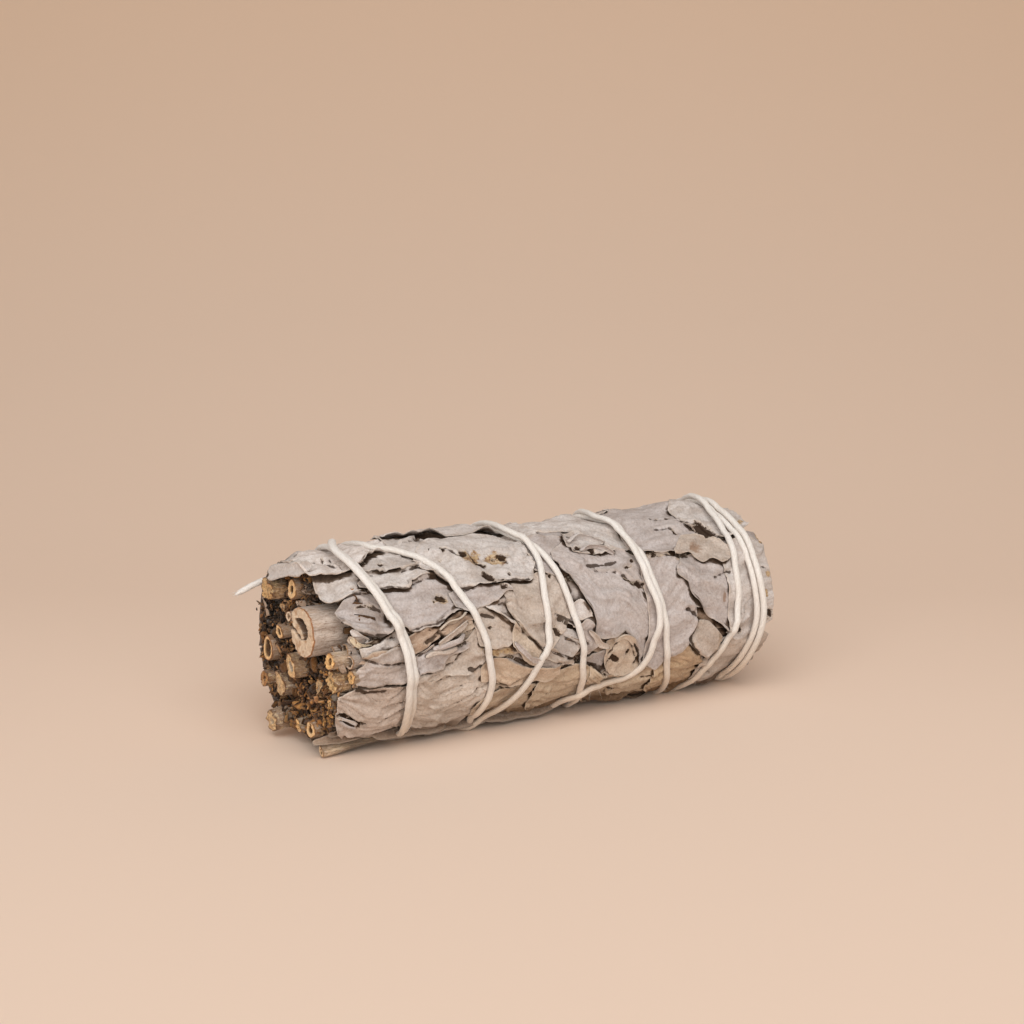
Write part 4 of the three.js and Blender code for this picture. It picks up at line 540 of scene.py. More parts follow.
def lay(name, upper, lower, tone, opt, seed, step=0.34):
    """Lays one leaf on what is already there. Returns its vertices, its faces and what its paint needs."""
    wr, lam = opt.get("wr", 0.35), opt.get("lam", 2.0)
    liftA, liftB = opt.get("lift", (0.3, 0.8))
    curl, thick = opt.get("curl", 1.2), opt.get("thick", 0.3)
    soft = blur(H, opt.get("soft", 0.7))
    ua, la = along(upper, np.linspace(0, 1, 60))
    ub, lb = along(lower, np.linspace(0, 1, 60))
    width = np.linalg.norm(ua - ub, axis=1)
    L, W = 0.5 * (la + lb), max(1.6, np.percentile(width, 75))
    us, vs = edge_rows(L, step), edge_rows(W, step)
    nu, nv = len(us), len(vs)
    A, _ = along(upper, us)
    B, _ = along(lower, us)
    su = us * L

    def wob(k):
        a = fbm(np.stack([su / 2.4, np.full(nu, k * 1.7), np.zeros(nu)], 1), 2, k)
        b = noise3(np.stack([su / 0.75, np.full(nu, k * 2.9), np.zeros(nu)], 1), k + 5)
        return 0.3 * a + 0.14 * b

    dirv = (B - A) / np.maximum(np.linalg.norm(B - A, axis=1, keepdims=True), 1e-6)
    A = A + dirv * wob(seed * 7 + 1)[:, None]
    B = B + dirv * wob(seed * 7 + 2)[:, None]
    P = A[:, None] * (1 - vs)[None, :, None] + B[:, None] * vs[None, :, None]
    wl = np.linalg.norm(B - A, axis=1)[:, None]
    dA = vs[None] * wl
    dB = (1 - vs)[None] * wl
    dS = np.broadcast_to(su[:, None], dA.shape)
    dE = np.broadcast_to((L - su)[:, None], dA.shape)
    d = np.minimum(np.minimum(dA, dB), np.minimum(dS, dE))
    x = P[..., 0]
    t = P[..., 1] / (D2R * R_LEAF)
    X, T = x.ravel(), t.ravel()
    own = sample(H, X, T).reshape(nu, nv)
    base = np.maximum(sample(soft, X, T).reshape(nu, nv), own - 0.1)
    # folds run along the leaf: sharp crests, narrow creases and slow swells
    S = np.broadcast_to(su[:, None], x.shape)
    V = (vs[None] - 0.5) * wl
    one = np.ones(S.size)
    warp = 0.7 * noise3(np.stack([S.ravel() / 4.5, V.ravel() / 4.5, one * seed], 1), seed + 41)
    qv = V.ravel() / lam + warp
    crest = np.clip(1 - np.abs(noise3(np.stack([S.ravel() / 8.5, qv, one * seed * 0.7], 1), seed + 50)), 0, 1) ** 3
    crease = np.clip(1 - np.abs(noise3(np.stack([S.ravel() / 7.0 + 3, qv * 0.8 + 9, one * seed * 0.3], 1), seed + 55)), 0, 1) ** 7
    waves = fbm(np.stack([S.ravel() / 6.0, V.ravel() / 3.6, one * seed], 1), 2, seed + 60)
    fine = fbm(np.stack([S.ravel() / 1.7, V.ravel() / 0.9, one * seed], 1), 2, seed + 70)
    pleat = opt.get("pleat", 0.2)
    pv = V.ravel() / 1.15 + 1.6 * noise3(np.stack([S.ravel() / 9.0, V.ravel() / 6.0, one * seed * 1.3], 1), seed + 43)
    folds = np.abs(noise3(np.stack([S.ravel() / 16.0, pv, one * seed * 0.9], 1), seed + 52)) ** 0.6
    w = (0.7 * wr * (0.9 * (crest - 0.35) + 1.05 * waves - 0.6 * crease) + pleat * (folds - 0.5) + 0.05 * fine).reshape(nu, nv)
    # fold: how much painted shade lies in the narrow creases and pleat valleys
    fold = np.maximum(0.7 * crease * min(1.0, wr / 0.4), np.clip(1 - folds / 0.5, 0, 1) * min(1.0, pleat / 0.35)).reshape(nu, nv)
    w = w - 0.1 * opt.get("vein", 1) * np.exp(-((V / 0.4) ** 2))

    def along_edge(k):
        return np.clip(0.75 + 1.5 * fbm(np.stack([su / 3.2, np.full(nu, 9.1 + k), np.zeros(nu)], 1), 2, k), 0, 2)[:, None]

    def prof(dist):
        return np.clip(1 - dist / curl, 0, 1) ** 1.7

    lift = 0.4 * liftA * along_edge(seed + 80) * prof(dA) + 0.6 * liftB * along_edge(seed + 90) * prof(dB)
    across = np.clip(0.6 + 1.2 * fbm(np.stack([V[nu // 2] / 1.5, np.full(nv, 3.0 + seed), np.zeros(nv)], 1), 2, seed + 95), 0, 2)[None]
    ends = opt.get("ends", 0.18)
    lift = lift + ends * across * (prof(dS) + prof(dE))
    mid = base + thick * 0.5 + 0.03 + np.maximum(w, -0.1) + lift
    mid = np.maximum(mid, own + thick * 0.3)
    cap = opt.get("cap", 2.3)
    mid = np.where(mid > cap, cap + (mid - cap) * 0.42, mid)
    if opt.get("drape"):
        mid = mid - opt["drape"] * prof(dB * 0.6)
    half = 0.5 * thick * np.sqrt(np.clip(1 - (1 - np.clip(d, 0, RIM) / RIM) ** 2, 0, 1))
    top, low = mid + half, mid - half
    qa, qb, _ = sheet_faces(nu, nv)
    if np.mean(A[:, 1] - B[:, 1]) < 0:
        qa, qb = qa[:, ::-1], qb[:, ::-1]
    inner = np.zeros((nu, nv), bool)
    inner[1:-1, 1:-1] = True
    inner = inner.ravel()

    def both(m, under=None):
        m = np.broadcast_to(m, (nu, nv)).ravel()
        return np.r_[m, m[inner] if under is None else np.full(inner.sum(), under)]

    dat = {
        "name": name, "quads": np.vstack([qa, qb]), "tone": tone, "x": both(x), "t": both(t),
        "h": np.r_[top.ravel(), low.ravel()[inner]], "rim": both(np.exp(-((d / 0.26) ** 2)), 0.0),
        "edge": both(np.exp(-((d / 0.8) ** 2)), 0.0), "vein": both(np.exp(-((V / 0.3) ** 2)), 0.0), "fold": both(fold),
        "up": both(np.ones((nu, nv)), 0.0),
    }
    # raise the map of what is laid
    fu, fv = np.linspace(0, 1, int(L / 0.17) + 2), np.linspace(0, 1, int(W / 0.17) + 2)
    iu, iv = np.interp(fu, us, np.arange(nu)), np.interp(fv, vs, np.arange(nv))
    i0, j0 = np.minimum(iu.astype(int), nu - 2), np.minimum(iv.astype(int), nv - 2)
    a, b = (iu - i0)[:, None], (iv - j0)[None]

    def bil(m):
        lo_ = m[np.ix_(i0, j0)] * (1 - a) + m[np.ix_(i0 + 1, j0)] * a
        hi_ = m[np.ix_(i0, j0 + 1)] * (1 - a) + m[np.ix_(i0 + 1, j0 + 1)] * a
        return lo_ * (1 - b) + hi_ * b

    ci, cj = cell(bil(x).ravel(), bil(t).ravel())
    np.maximum.at(H, (ci, cj), bil(top).ravel())
    return dat


# crushed leaves below the outer ones, seen only in the gaps
scraps = []
for k in range(70):
    cx, ct = rng.uniform(-46, 46), rng.uniform(0, 360)
    L, W = rng.uniform(9, 19), rng.uniform(4.5, 8.5)
    ang = rng.normal(0, 0.3)
    up, lo = [], []
    for u in (-1, -0.5, 0, 0.5, 1):
        wv = W / 2 * (1 - 0.75 * u * u)
        for sgn, lst in ((1, up), (-1, lo)):
            px, py = u * L / 2, sgn * wv
            gx = cx + px * math.cos(ang) - py * math.sin(ang)
            gy = px * math.sin(ang) + py * math.cos(ang)
            tt = ct + gy / (D2R * R_LEAF)
            lst.append((float(np.clip(gx, start_x(tt, -49.4), 49.4)), tt))
    tone = [srgb(186, 168, 152), srgb(160, 138, 118), srgb(200, 184, 172), srgb(142, 118, 96)][k % 4]
    scraps.append(lay("scrap", up, lo, tone, {"wr": 0.9, "lam": 1.7, "thick": 0.36, "lift": (0.9, 0.9), "cap": 1.3}, 300 + k, 0.95))

for k in range(64):
    cx, ct = -45 + 90 * ((k * 0.618034) % 1.0), -75 + 5.625 * k
    L, W = rng.uniform(13, 20), rng.uniform(6.0, 9.0)
    ang = rng.normal(0, 0.22)
    up, lo = [], []
    for u in (-1, -0.6, -0.1, 0.4, 0.8, 1):
        wv = W / 2 * (1 - 0.7 * abs(u) ** 2.2)
        for sgn, lst in ((1, up), (-1, lo)):
            px, py = u * L / 2, sgn * wv
            gx = cx + px * math.cos(ang) - py * math.sin(ang)
            gy = px * math.sin(ang) + py * math.cos(ang)
            tt = ct + gy / (D2R * R_LEAF)
            lst.append((float(np.clip(gx, start_x(tt, -49.0), 49.6)), tt))
    tone = [PALE, MAUVE, TAN, WARM][k % 4] * 0.9
    scraps.append(lay("filler", up, lo, tone, {"wr": 0.3, "lift": (0.3, 0.7), "cap": 1.15}, 500 + k, 0.82))

laid = []
for n, (name, up, lo, tone, opt) in enumerate(LEAVES):
    laid.append(lay(name, up, lo, tone, opt, 11 + n, 0.74 if name.startswith("leaf_back") else 0.37))

SURF = H.copy()
SURF_BLUR = blur(SURF, 1.5)
SURF_NEAR = blur(grow_max(SURF, 0.36), 0.28)


def paint(dat):
    """Marks and creases: how much painted hole shade, ochre, brown and painted crease shade each vertex has, how far it
    is pressed in, and its raised lip with its painted highlight.
    """
    x, y = dat["x"], wrap(dat["t"]) * D2R * R_LEAF
    dark, ochre, brown, line, dip, lip, pale = (np.zeros(len(x)) for _ in range(7))
    q = np.stack([x, y, np.zeros(len(x))], 1)
    wob = 0.55 * fbm(q / 1.3, 2, 400) + 0.3 * noise3(q / 0.6, 401)
    for mx, mt, a, b, turn, kind, k in MARKS:
        my = mt * D2R * R_LEAF
        dx, dy = x - mx, y - my
        near = (np.abs(dx) < 4 * max(a, b)) & (np.abs(dy) < 4 * max(a, b))
        if not near.any():
            continue
        c, s = math.cos(turn * D2R), math.sin(turn * D2R)
        e = np.hypot((dx * c + dy * s) / a, (-dx * s + dy * c) / b) / (0.5 + 0.5 * k) + wob
        f = np.clip(1.1 - 0.6 * e, 0, 1) * near
        # a hole is painted shade, pressed in a little, with a brown ring round it
        if kind == "hole":
            dark = np.maximum(dark, f)
            brown = np.maximum(brown, np.clip(1.35 - 0.6 * e, 0, 1) * near * 0.8)
            dip = np.maximum(dip, smooth01((f - 0.35) / 0.3) * 0.55)
        elif kind == "ochre":
            ochre = np.maximum(ochre, f)
            dip = np.maximum(dip, smooth01((f - 0.4) / 0.3) * 0.22)
        else:
            brown = np.maximum(brown, f)
    for pts, w, dep, k in CREASES:
        P = np.array(pts, float)
        P[:, 1] *= D2R * R_LEAF
        lo, hi = P.min(0) - 2.5, P.max(0) + 2.5
        near = (x > lo[0]) & (x < hi[0]) & (y > lo[1]) & (y < hi[1])
        if not near.any():
            continue
        px = np.stack([x[near], y[near]], 1)
        best, above = np.full(len(px), 9.0), np.zeros(len(px))
        for p, q_ in zip(P[:-1], P[1:]):
            d = q_ - p
            s = np.clip(((px - p) @ d) / max(d @ d, 1e-9), 0, 1)
            off = px - p - s[:, None] * d
            dist = np.linalg.norm(off, axis=1)
            side_ = np.sign(d[0] * off[:, 1] - d[1] * off[:, 0]) * (1 if d[0] >= 0 else -1)
            above = np.where(dist < best, side_, above)
            best = np.minimum(best, dist)
        lip[near] = np.maximum(lip[near], np.exp(-(((best - w - 0.25) / 0.38) ** 2)) * (above > 0) * 0.3 * k)
        # painted highlight along the raised side of the crease
        pale[near] = np.maximum(pale[near], np.exp(-(((best - w * 0.8 - 0.16) / 0.16) ** 2)) * (above > 0) * 0.7 * k)
        best = best + wob[near] * 0.55 * min(1.0, w / 0.4)
        # painted shade in the crease
        line[near] = np.maximum(line[near], np.clip(0.5 + (w * (0.45 + 0.35 * k) - best) / 1.2, 0, 1))
        dip[near] = np.maximum(dip[near], np.exp(-((np.maximum(best, 0) / max(w, 0.32)) ** 2)) * dep)
    return dark, ochre, brown, line, dip, lip, pale


def finish_leaf(dat):
    dark, ochre, brown, line, dip, lip, pale = paint(dat)
    x, t, h = dat["x"], dat["t"], dat["h"]
    # painted shade: darker where a point lies below what surrounds it or under another leaf, over the underside, and on
    # the back leaves at the cut end
    depth = sample(SURF_BLUR, x, t) - h
    covered = sample(SURF, x, t) - h
    beside = sample(SURF_NEAR, x, t) - h
    cav = smooth01((depth - 0.18) / 0.85) * 0.68 + smooth01((covered - 0.2) / 0.5) * 0.6
    cav = np.maximum(cav, 0.85 * smooth01((-51 - wrap(t)) / 9) * smooth01((wrap(t) + 130) / 20) * (wrap(t) < 0))
    cav = np.maximum(cav, 0.8 * smooth01((-48.2 - x + 0.8 * noise3(np.stack([t / 5, x, t * 0], 1), 61)) / 1.6) * smooth01((wrap(t) % 360 - 100) / 15) * smooth01((262 - wrap(t) % 360) / 15))
    # painted shade, deepening towards the underside
    cav = np.maximum(cav, 0.3 * smooth01((-20 - wrap(t)) / 34) * smooth01((x + 36) / 9) * (wrap(t) > -130))
    # painted shadow where a leaf lies just below a higher neighbouring leaf's edge
    crack = smooth01((beside - 0.22) / 0.5) * 0.92
    h2 = h - dip + lip
    r = base_radius(x, t) + h2
    v = place(x, t, r)
    v[:, 2] = np.maximum(v[:, 2], 0.25)
    dat["verts"] = v
    return {
        "dark": dark, "ochre": ochre, "brown": brown, "line": line, "cav": np.clip(cav, 0, 1), "crack": crack,
        "rim": np.maximum(dat["rim"], pale), "edge": dat["edge"], "vein": dat["vein"], "fold": dat["fold"],
    }


# ------------------------------------------------------------------------------------------------ materials
class Mat:
    def __init__(self, name):
        self.m = bpy.data.materials.new(name)
        self.m.use_nodes = True
        self.nt = self.m.node_tree
        self.bsdf = next(n for n in self.nt.nodes if n.type == "BSDF_PRINCIPLED")
        self.x = -300

    def node(self, kind, **kw):
        n = self.nt.nodes.new(kind)
        self.x -= 40
        n.location = (self.x, 0)
        for k, v in kw.items():
            setattr(n, k, v)
        return n

    def link(self, a, b):
        self.nt.links.new(a, b)

    def attr(self, name, out="Fac"):
        return self.node("ShaderNodeAttribute", attribute_name=name).outputs[out]

    def coord(self):
        if not hasattr(self, "_co"):
            self._co = self.node("ShaderNodeTexCoord").outputs["Object"]
        return self._co

    def scaled(self, sx, sy, sz):
        n = self.node("ShaderNodeVectorMath", operation="MULTIPLY")
        self.link(self.coord(), n.inputs[0])
        n.inputs[1].default_value = (sx, sy, sz)
        return n.outputs[0]

    def noise(self, scale, detail=3, rough=0.55, vec=None, dist=0.0):
        n = self.node("ShaderNodeTexNoise")
        self.link(vec if vec is not None else self.coord(), n.inputs["Vector"])
        n.inputs["Scale"].default_value = scale
        n.inputs["Detail"].default_value = detail
        n.inputs["Roughness"].default_value = rough
        n.inputs["Distortion"].default_value = dist
        return n.outputs["Fac"]

    def voronoi(self, scale, feature="DISTANCE_TO_EDGE", vec=None, rand=1.0):
        n = self.node("ShaderNodeTexVoronoi", feature=feature)
        self.link(vec if vec is not None else self.coord(), n.inputs["Vector"])
        n.inputs["Scale"].default_value = scale
        n.inputs["Randomness"].default_value = rand
        return n.outputs["Distance"]

    def ramp(self, fac, stops, mode="LINEAR"):
        n = self.node("ShaderNodeValToRGB")
        n.color_ramp.interpolation = mode
        els = n.color_ramp.elements
        while len(els) < len(stops):
            els.new(0.5)
        for e, (p, c) in zip(els, stops):
            e.position = p
            e.color = (*c, 1) if not np.isscalar(c) else (c, c, c, 1)
        self.link(fac, n.inputs[0])
        return n.outputs["Color"]

    def remap(self, fac, a, b, lo=0.0, hi=1.0):
        n = self.node("ShaderNodeMapRange")
        n.clamp = True
        self.link(fac, n.inputs["Value"])
        n.inputs["From Min"].default_value = a
        n.inputs["From Max"].default_value = b
        n.inputs["To Min"].default_value = lo
        n.inputs["To Max"].default_value = hi
        return n.outputs["Result"]

    def math(self, op, a, b=None, clamp=False):
        n = self.node("ShaderNodeMath", operation=op)
        n.use_clamp = clamp
        for i, v in enumerate((a, b)):
            if v is None:
                continue
            if isinstance(v, (int, float)):
                n.inputs[i].default_value = v
            else:
                self.link(v, n.inputs[i])
        return n.outputs[0]

    def mix(self, fac, a, b, blend="MIX"):
        n = self.node("ShaderNodeMix", data_type="RGBA", blend_type=blend)
        n.clamp_factor = True
        for s, v in ((n.inputs[0], fac), (n.inputs[6], a), (n.inputs[7], b)):
            if isinstance(v, (int, float)):
                s.default_value = v
            elif isinstance(v, (tuple, list, np.ndarray)):
                s.default_value = (*[float(c) for c in v[:3]], 1)
            else:
                self.link(v, s)
        return n.outputs[2]

    def bump(self, height, strength, distance, normal=None):
        n = self.node("ShaderNodeBump")
        n.inputs["Strength"].default_value = strength
        n.inputs["Distance"].default_value = distance
        self.link(height, n.inputs["Height"])
        if normal is not None:
            self.link(normal, n.inputs["Normal"])
        return n.outputs["Normal"]

    def done(self, colour, rough, normal=None, sheen=0.0, sheen_rough=0.5, spec=0.3, sheen_tint=(1, 1, 1)):
        b = self.bsdf
        self.link(colour, b.inputs["Base Color"])
        if isinstance(rough, (int, float)):
            b.inputs["Roughness"].default_value = rough
        else:
            self.link(rough, b.inputs["Roughness"])
        if normal is not None:
            self.link(normal, b.inputs["Normal"])
        b.inputs["Specular IOR Level"].default_value = spec
        b.inputs["Sheen Weight"].default_value = sheen
        b.inputs["Sheen Roughness"].default_value = sheen_rough
        b.inputs["Sheen Tint"].default_value = (*sheen_tint, 1)
        return self.m


def leaf_material():
    m = Mat("dry_sage_leaf")
    tint = m.attr("tint", "Color")
    grain = m.noise(2300, 3, 0.75)
    mott = m.noise(750, 3, 0.6)
    blotch = m.noise(190, 3, 0.55)
    jag = m.noise(1700, 3, 0.65)
    jag0 = m.math("SUBTRACT", jag, 0.5)
    net = m.voronoi(1000)
    net2 = m.voronoi(430)
    c = m.mix(m.remap(blotch, 0.5, 0.72, 0.0, 0.6), tint, (0.9, 0.86, 0.82), "MULTIPLY")
    c = m.mix(m.remap(blotch, 0.48, 0.28, 0.0, 1.0), c, (0.03, 0.03, 0.03), "ADD")
    c = m.mix(m.remap(mott, 0.52, 0.7, 0.0, 0.6), c, (0.88, 0.84, 0.8), "MULTIPLY")
    c = m.mix(m.remap(mott, 0.45, 0.3, 0.0, 0.9), c, (0.035, 0.035, 0.035), "ADD")
    c = m.mix(m.remap(net, 0.0, 0.14, 0.26, 0.0), c, (0.78, 0.72, 0.68), "MULTIPLY")
    c = m.mix(m.remap(net2, 0.0, 0.07, 0.1, 0.0), c, (0.76, 0.7, 0.66), "MULTIPLY")
    c = m.mix(m.remap(grain, 0.5, 0.32, 0.0, 0.9), c, (0.78, 0.75, 0.73), "MULTIPLY")
    c = m.mix(m.remap(grain, 0.52, 0.7, 0.0, 1.0), c, (0.07, 0.066, 0.062), "ADD")
    c = m.mix(m.math("MULTIPLY", m.attr("vein"), 0.3), c, (0.09, 0.08, 0.07), "ADD")
    # painted shade in the crease and fold valleys
    c = m.mix(m.math("MULTIPLY", m.attr("fold"), 0.85), c, (0.5, 0.42, 0.355), "MULTIPLY")
    # a broken brown line inside the edge, and a paler rim, partly the leaf's own pale edge and partly painted highlight
    # on the edges and crease lips
    e = m.math("MULTIPLY", m.attr("edge"), m.remap(m.noise(420, 3, 0.6), 0.42, 0.62, 0.0, 0.5))
    c = m.mix(e, c, (0.66, 0.52, 0.4), "MULTIPLY")
    c = m.mix(m.math("MULTIPLY", m.attr("rim"), 0.34), c, srgb(216, 202, 186))
    br = m.remap(m.math("ADD", m.attr("brown"), m.math("MULTIPLY", jag0, 0.7)), 0.4, 0.75)
    c = m.mix(m.math("MULTIPLY", br, 0.75), c, srgb(136, 102, 74))
    oc = m.mix(m.remap(m.noise(1300, 3, 0.6), 0.38, 0.62), srgb(134, 100, 68), srgb(196, 168, 130))
    c = m.mix(m.remap(m.math("ADD", m.attr("ochre"), m.math("MULTIPLY", jag0, 0.7)), 0.42, 0.6), c, oc)
    # painted shade in hollows, under other leaves and on the underside
    c = m.mix(m.attr("cav"), c, (0.27, 0.215, 0.17), "MULTIPLY")
    # painted shadow below higher leaf edges
    ck = m.remap(m.math("ADD", m.attr("crack"), m.math("MULTIPLY", jag0, 0.4)), 0.3, 0.85)
    c = m.mix(ck, c, (0.2, 0.155, 0.12), "MULTIPLY")
    # painted shade in the creases
    ln = m.remap(m.math("ADD", m.attr("line"), m.math("MULTIPLY", jag0, 0.2)), 0.48, 0.6)
    c = m.mix(m.math("MULTIPLY", ln, 0.88), c, srgb(60, 44, 32))
    # holes: painted shade inside, with a pale band round it that is partly the torn edge's own colour and partly
    # painted highlight
    dj = m.math("ADD", m.attr("dark"), m.math("MULTIPLY", jag0, 0.9))
    band = m.math("MULTIPLY", m.remap(dj, 0.26, 0.36), m.remap(dj, 0.46, 0.36))
    c = m.mix(m.math("MULTIPLY", band, 0.5), c, srgb(214, 198, 178))
    dk = m.remap(dj, 0.42, 0.58)
    c = m.mix(m.math("MULTIPLY", dk, 0.92), c, srgb(48, 34, 24))
    h = m.math("ADD", m.math("MULTIPLY", grain, 0.55), m.math("MULTIPLY", mott, 0.5))
    h = m.math("ADD", h, m.math("MULTIPLY", m.remap(net, 0.0, 0.2), 0.16))
    h = m.math("ADD", h, m.math("MULTIPLY", m.remap(net2, 0.0, 0.12), 0.12))
    n = m.bump(h, 0.8, 0.0003)
    out = m.done(c, m.remap(grain, 0.3, 0.7, 0.8, 0.96), n, sheen=0.2, sheen_rough=0.6, spec=0.15, sheen_tint=(1.0, 0.98, 0.96))
    # no sheen where shade or shadow is painted, so that the painted shade stays dark
    bare = m.math("MAXIMUM", m.math("MAXIMUM", ln, dk), m.math("MAXIMUM", ck, m.attr("cav")))
    m.link(m.remap(bare, 0.0, 0.7, 0.2, 0.0), m.bsdf.inputs["Sheen Weight"])
    return out


LEAF = leaf_material()


def keep(ob, slot, *nodes):
    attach(ob, "root")
    if nodes:
        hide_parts(*nodes)
    return ob


SLOT = {n["node"]: n["material_slot"] for n in frame["record"]["subparts"]}

for dat in laid:
    at = finish_leaf(dat)
    ob = make_object(dat["name"] + "_skin", dat["verts"], dat["quads"], at, {"tint": np.broadcast_to(dat["tone"], (len(dat["verts"]), 3))})
    ob.data.materials.append(LEAF)
    if dat["name"].startswith("leaf_"):
        keep(ob, SLOT[dat["name"]], dat["name"])
    else:
        keep(ob, "leaf_warm")


# ------------------------------------------------------------------------------------------------ the crushed inside
b = Batch()
for dat in scraps:
    at = finish_leaf(dat)
    # painted shade on the crushed leaves, darker towards the cut end
    at["cav"] = np.clip(at["cav"] * 0.75 + 0.1 + 0.7 * smooth01((-45.0 - dat["x"]) / 2.0), 0, 1)
    b.add(dat["verts"], quads=dat["quads"], colour=dat["tone"], **at)
# the body under them: dark brown, with painted shade over it
nx_, nt_ = 110, 120
gx = np.r_[np.linspace(-47.6, -42, 24), np.linspace(-41.5, 48.9, nx_ - 24)]
gt = np.arange(nt_) * 360.0 / nt_
XX, TT = np.meshgrid(gx, gt, indexing="ij")
hh = 0.15 * noise3(np.stack([XX.ravel() / 1.5, R_LEAF * np.cos(TT.ravel() * D2R) / 1.2, R_LEAF * np.sin(TT.ravel() * D2R) / 1.2], 1), 21).reshape(XX.shape)
open_ = smooth01((wrap(TT) - 0) / 12) * smooth01((74 - wrap(TT)) / 12)
rr = base_radius(XX, TT) + hh - 0.1 - 7.0 * smooth01((-42.5 - XX) / 4) * open_
edge_in = np.clip((48.9 - XX) / 1.5, 0, 1) ** 0.5 * np.clip((XX + 47.6) / 1.0, 0, 1) ** 0.5
rr = rr * (0.93 + 0.07 * edge_in)
body = place(XX, TT, rr)
idx = np.arange(nx_ * nt_).reshape(nx_, nt_)
nxt = np.roll(idx, -1, 1)
q = np.stack([idx[:-1], nxt[:-1], nxt[1:], idx[1:]], -1).reshape(-1, 4)
verts = [body.reshape(-1, 3)]
caps_q, caps_t = [], []
count = nx_ * nt_
for side, i_end, xe in ((0, 0, -47.6), (1, nx_ - 1, 48.9)):
    ring = idx[i_end]
    for k, f in enumerate((0.9, 0.78, 0.64, 0.48, 0.32, 0.16)):
        R = rr[i_end] * f
        p = place(np.full(nt_, xe), gt, R)
        p[:, 0] += (1 if side == 0 else -1) * (0.9 + 0.7 * noise3(p / 1.6, 31 + k))
        verts.append(p)
        new = count + np.arange(nt_)
        count += nt_
        a, bb = np.roll(ring, -1), np.roll(new, -1)
        quad = np.stack([ring, new, bb, a], -1) if side == 0 else np.stack([ring, a, bb, new], -1)
        caps_q.append(quad)
        ring = new
    verts.append(np.array([[xe + (1 if side == 0 else -1) * 1.0, 0, AXIS_Z]]))
    c0 = count
    count += 1
    tri = np.stack([ring, np.full(nt_, c0), np.roll(ring, -1)], -1)
    caps_t.append(tri if side == 0 else tri[:, ::-1])
verts = np.vstack(verts)
b.add(verts, quads=np.vstack([q] + caps_q), tris=np.vstack(caps_t), colour=srgb(96, 76, 60), cav=np.full(len(verts), 0.6), dark=np.full(len(verts), 0.25))
core = b.build("inner_leaves")
core.data.materials.append(LEAF)
keep(core, "crushed_leaf", "inner_leaf_pack")


# ------------------------------------------------------------------------------------------------ the string
SURF_TOP = blur(grow_max(SURF, 0.45), 0.35)


def string_path():
    x, t = ROUTE_X, ROUTE_T
    r = base_radius(x, t) + sample(SURF_TOP, x, t)
    k = np.exp(-0.5 * (np.arange(-9, 10) / 3.2) ** 2)
    k /= k.sum()
    r = np.convolve(np.pad(r, 9, mode="edge"), k, "valid")
    r = np.clip(r + 0.32, 18.75 - 1.6 * flat_drop(x, t), 19.7)
    # a later turn climbs over an earlier one
    pts = np.stack([x, wrap(t) * D2R * R_LEAF], 1)
    climb = np.zeros(len(x))
    for s in range(0, len(x)):
        early = np.nonzero(t[:s] - t[s] > 200)[0]
        if not len(early):
            continue
        e = early[::2]
        dd = np.hypot(x[e] - x[s], wrap(t[e] - t[s]) * D2R * R_LEAF)
        dm = dd.min()
        if dm < 3.2:
            climb[s] = 1.0 * smooth01((2.6 - dm) / 1.9) if dm > 0.9 else 1.0
    # side-by-side runs don't climb
    climb = np.convolve(np.pad(climb, 6, mode="edge"), np.ones(13) / 13, "valid")
    r = r + climb
    s_ = np.sin(t * D2R)
    lim = (AXIS_Z - 0.52) / np.maximum(-s_, 0.4)
    r = np.where(s_ < -0.5, np.minimum(r, lim), r)
    return place(x, t, r)


CENTRE = string_path()


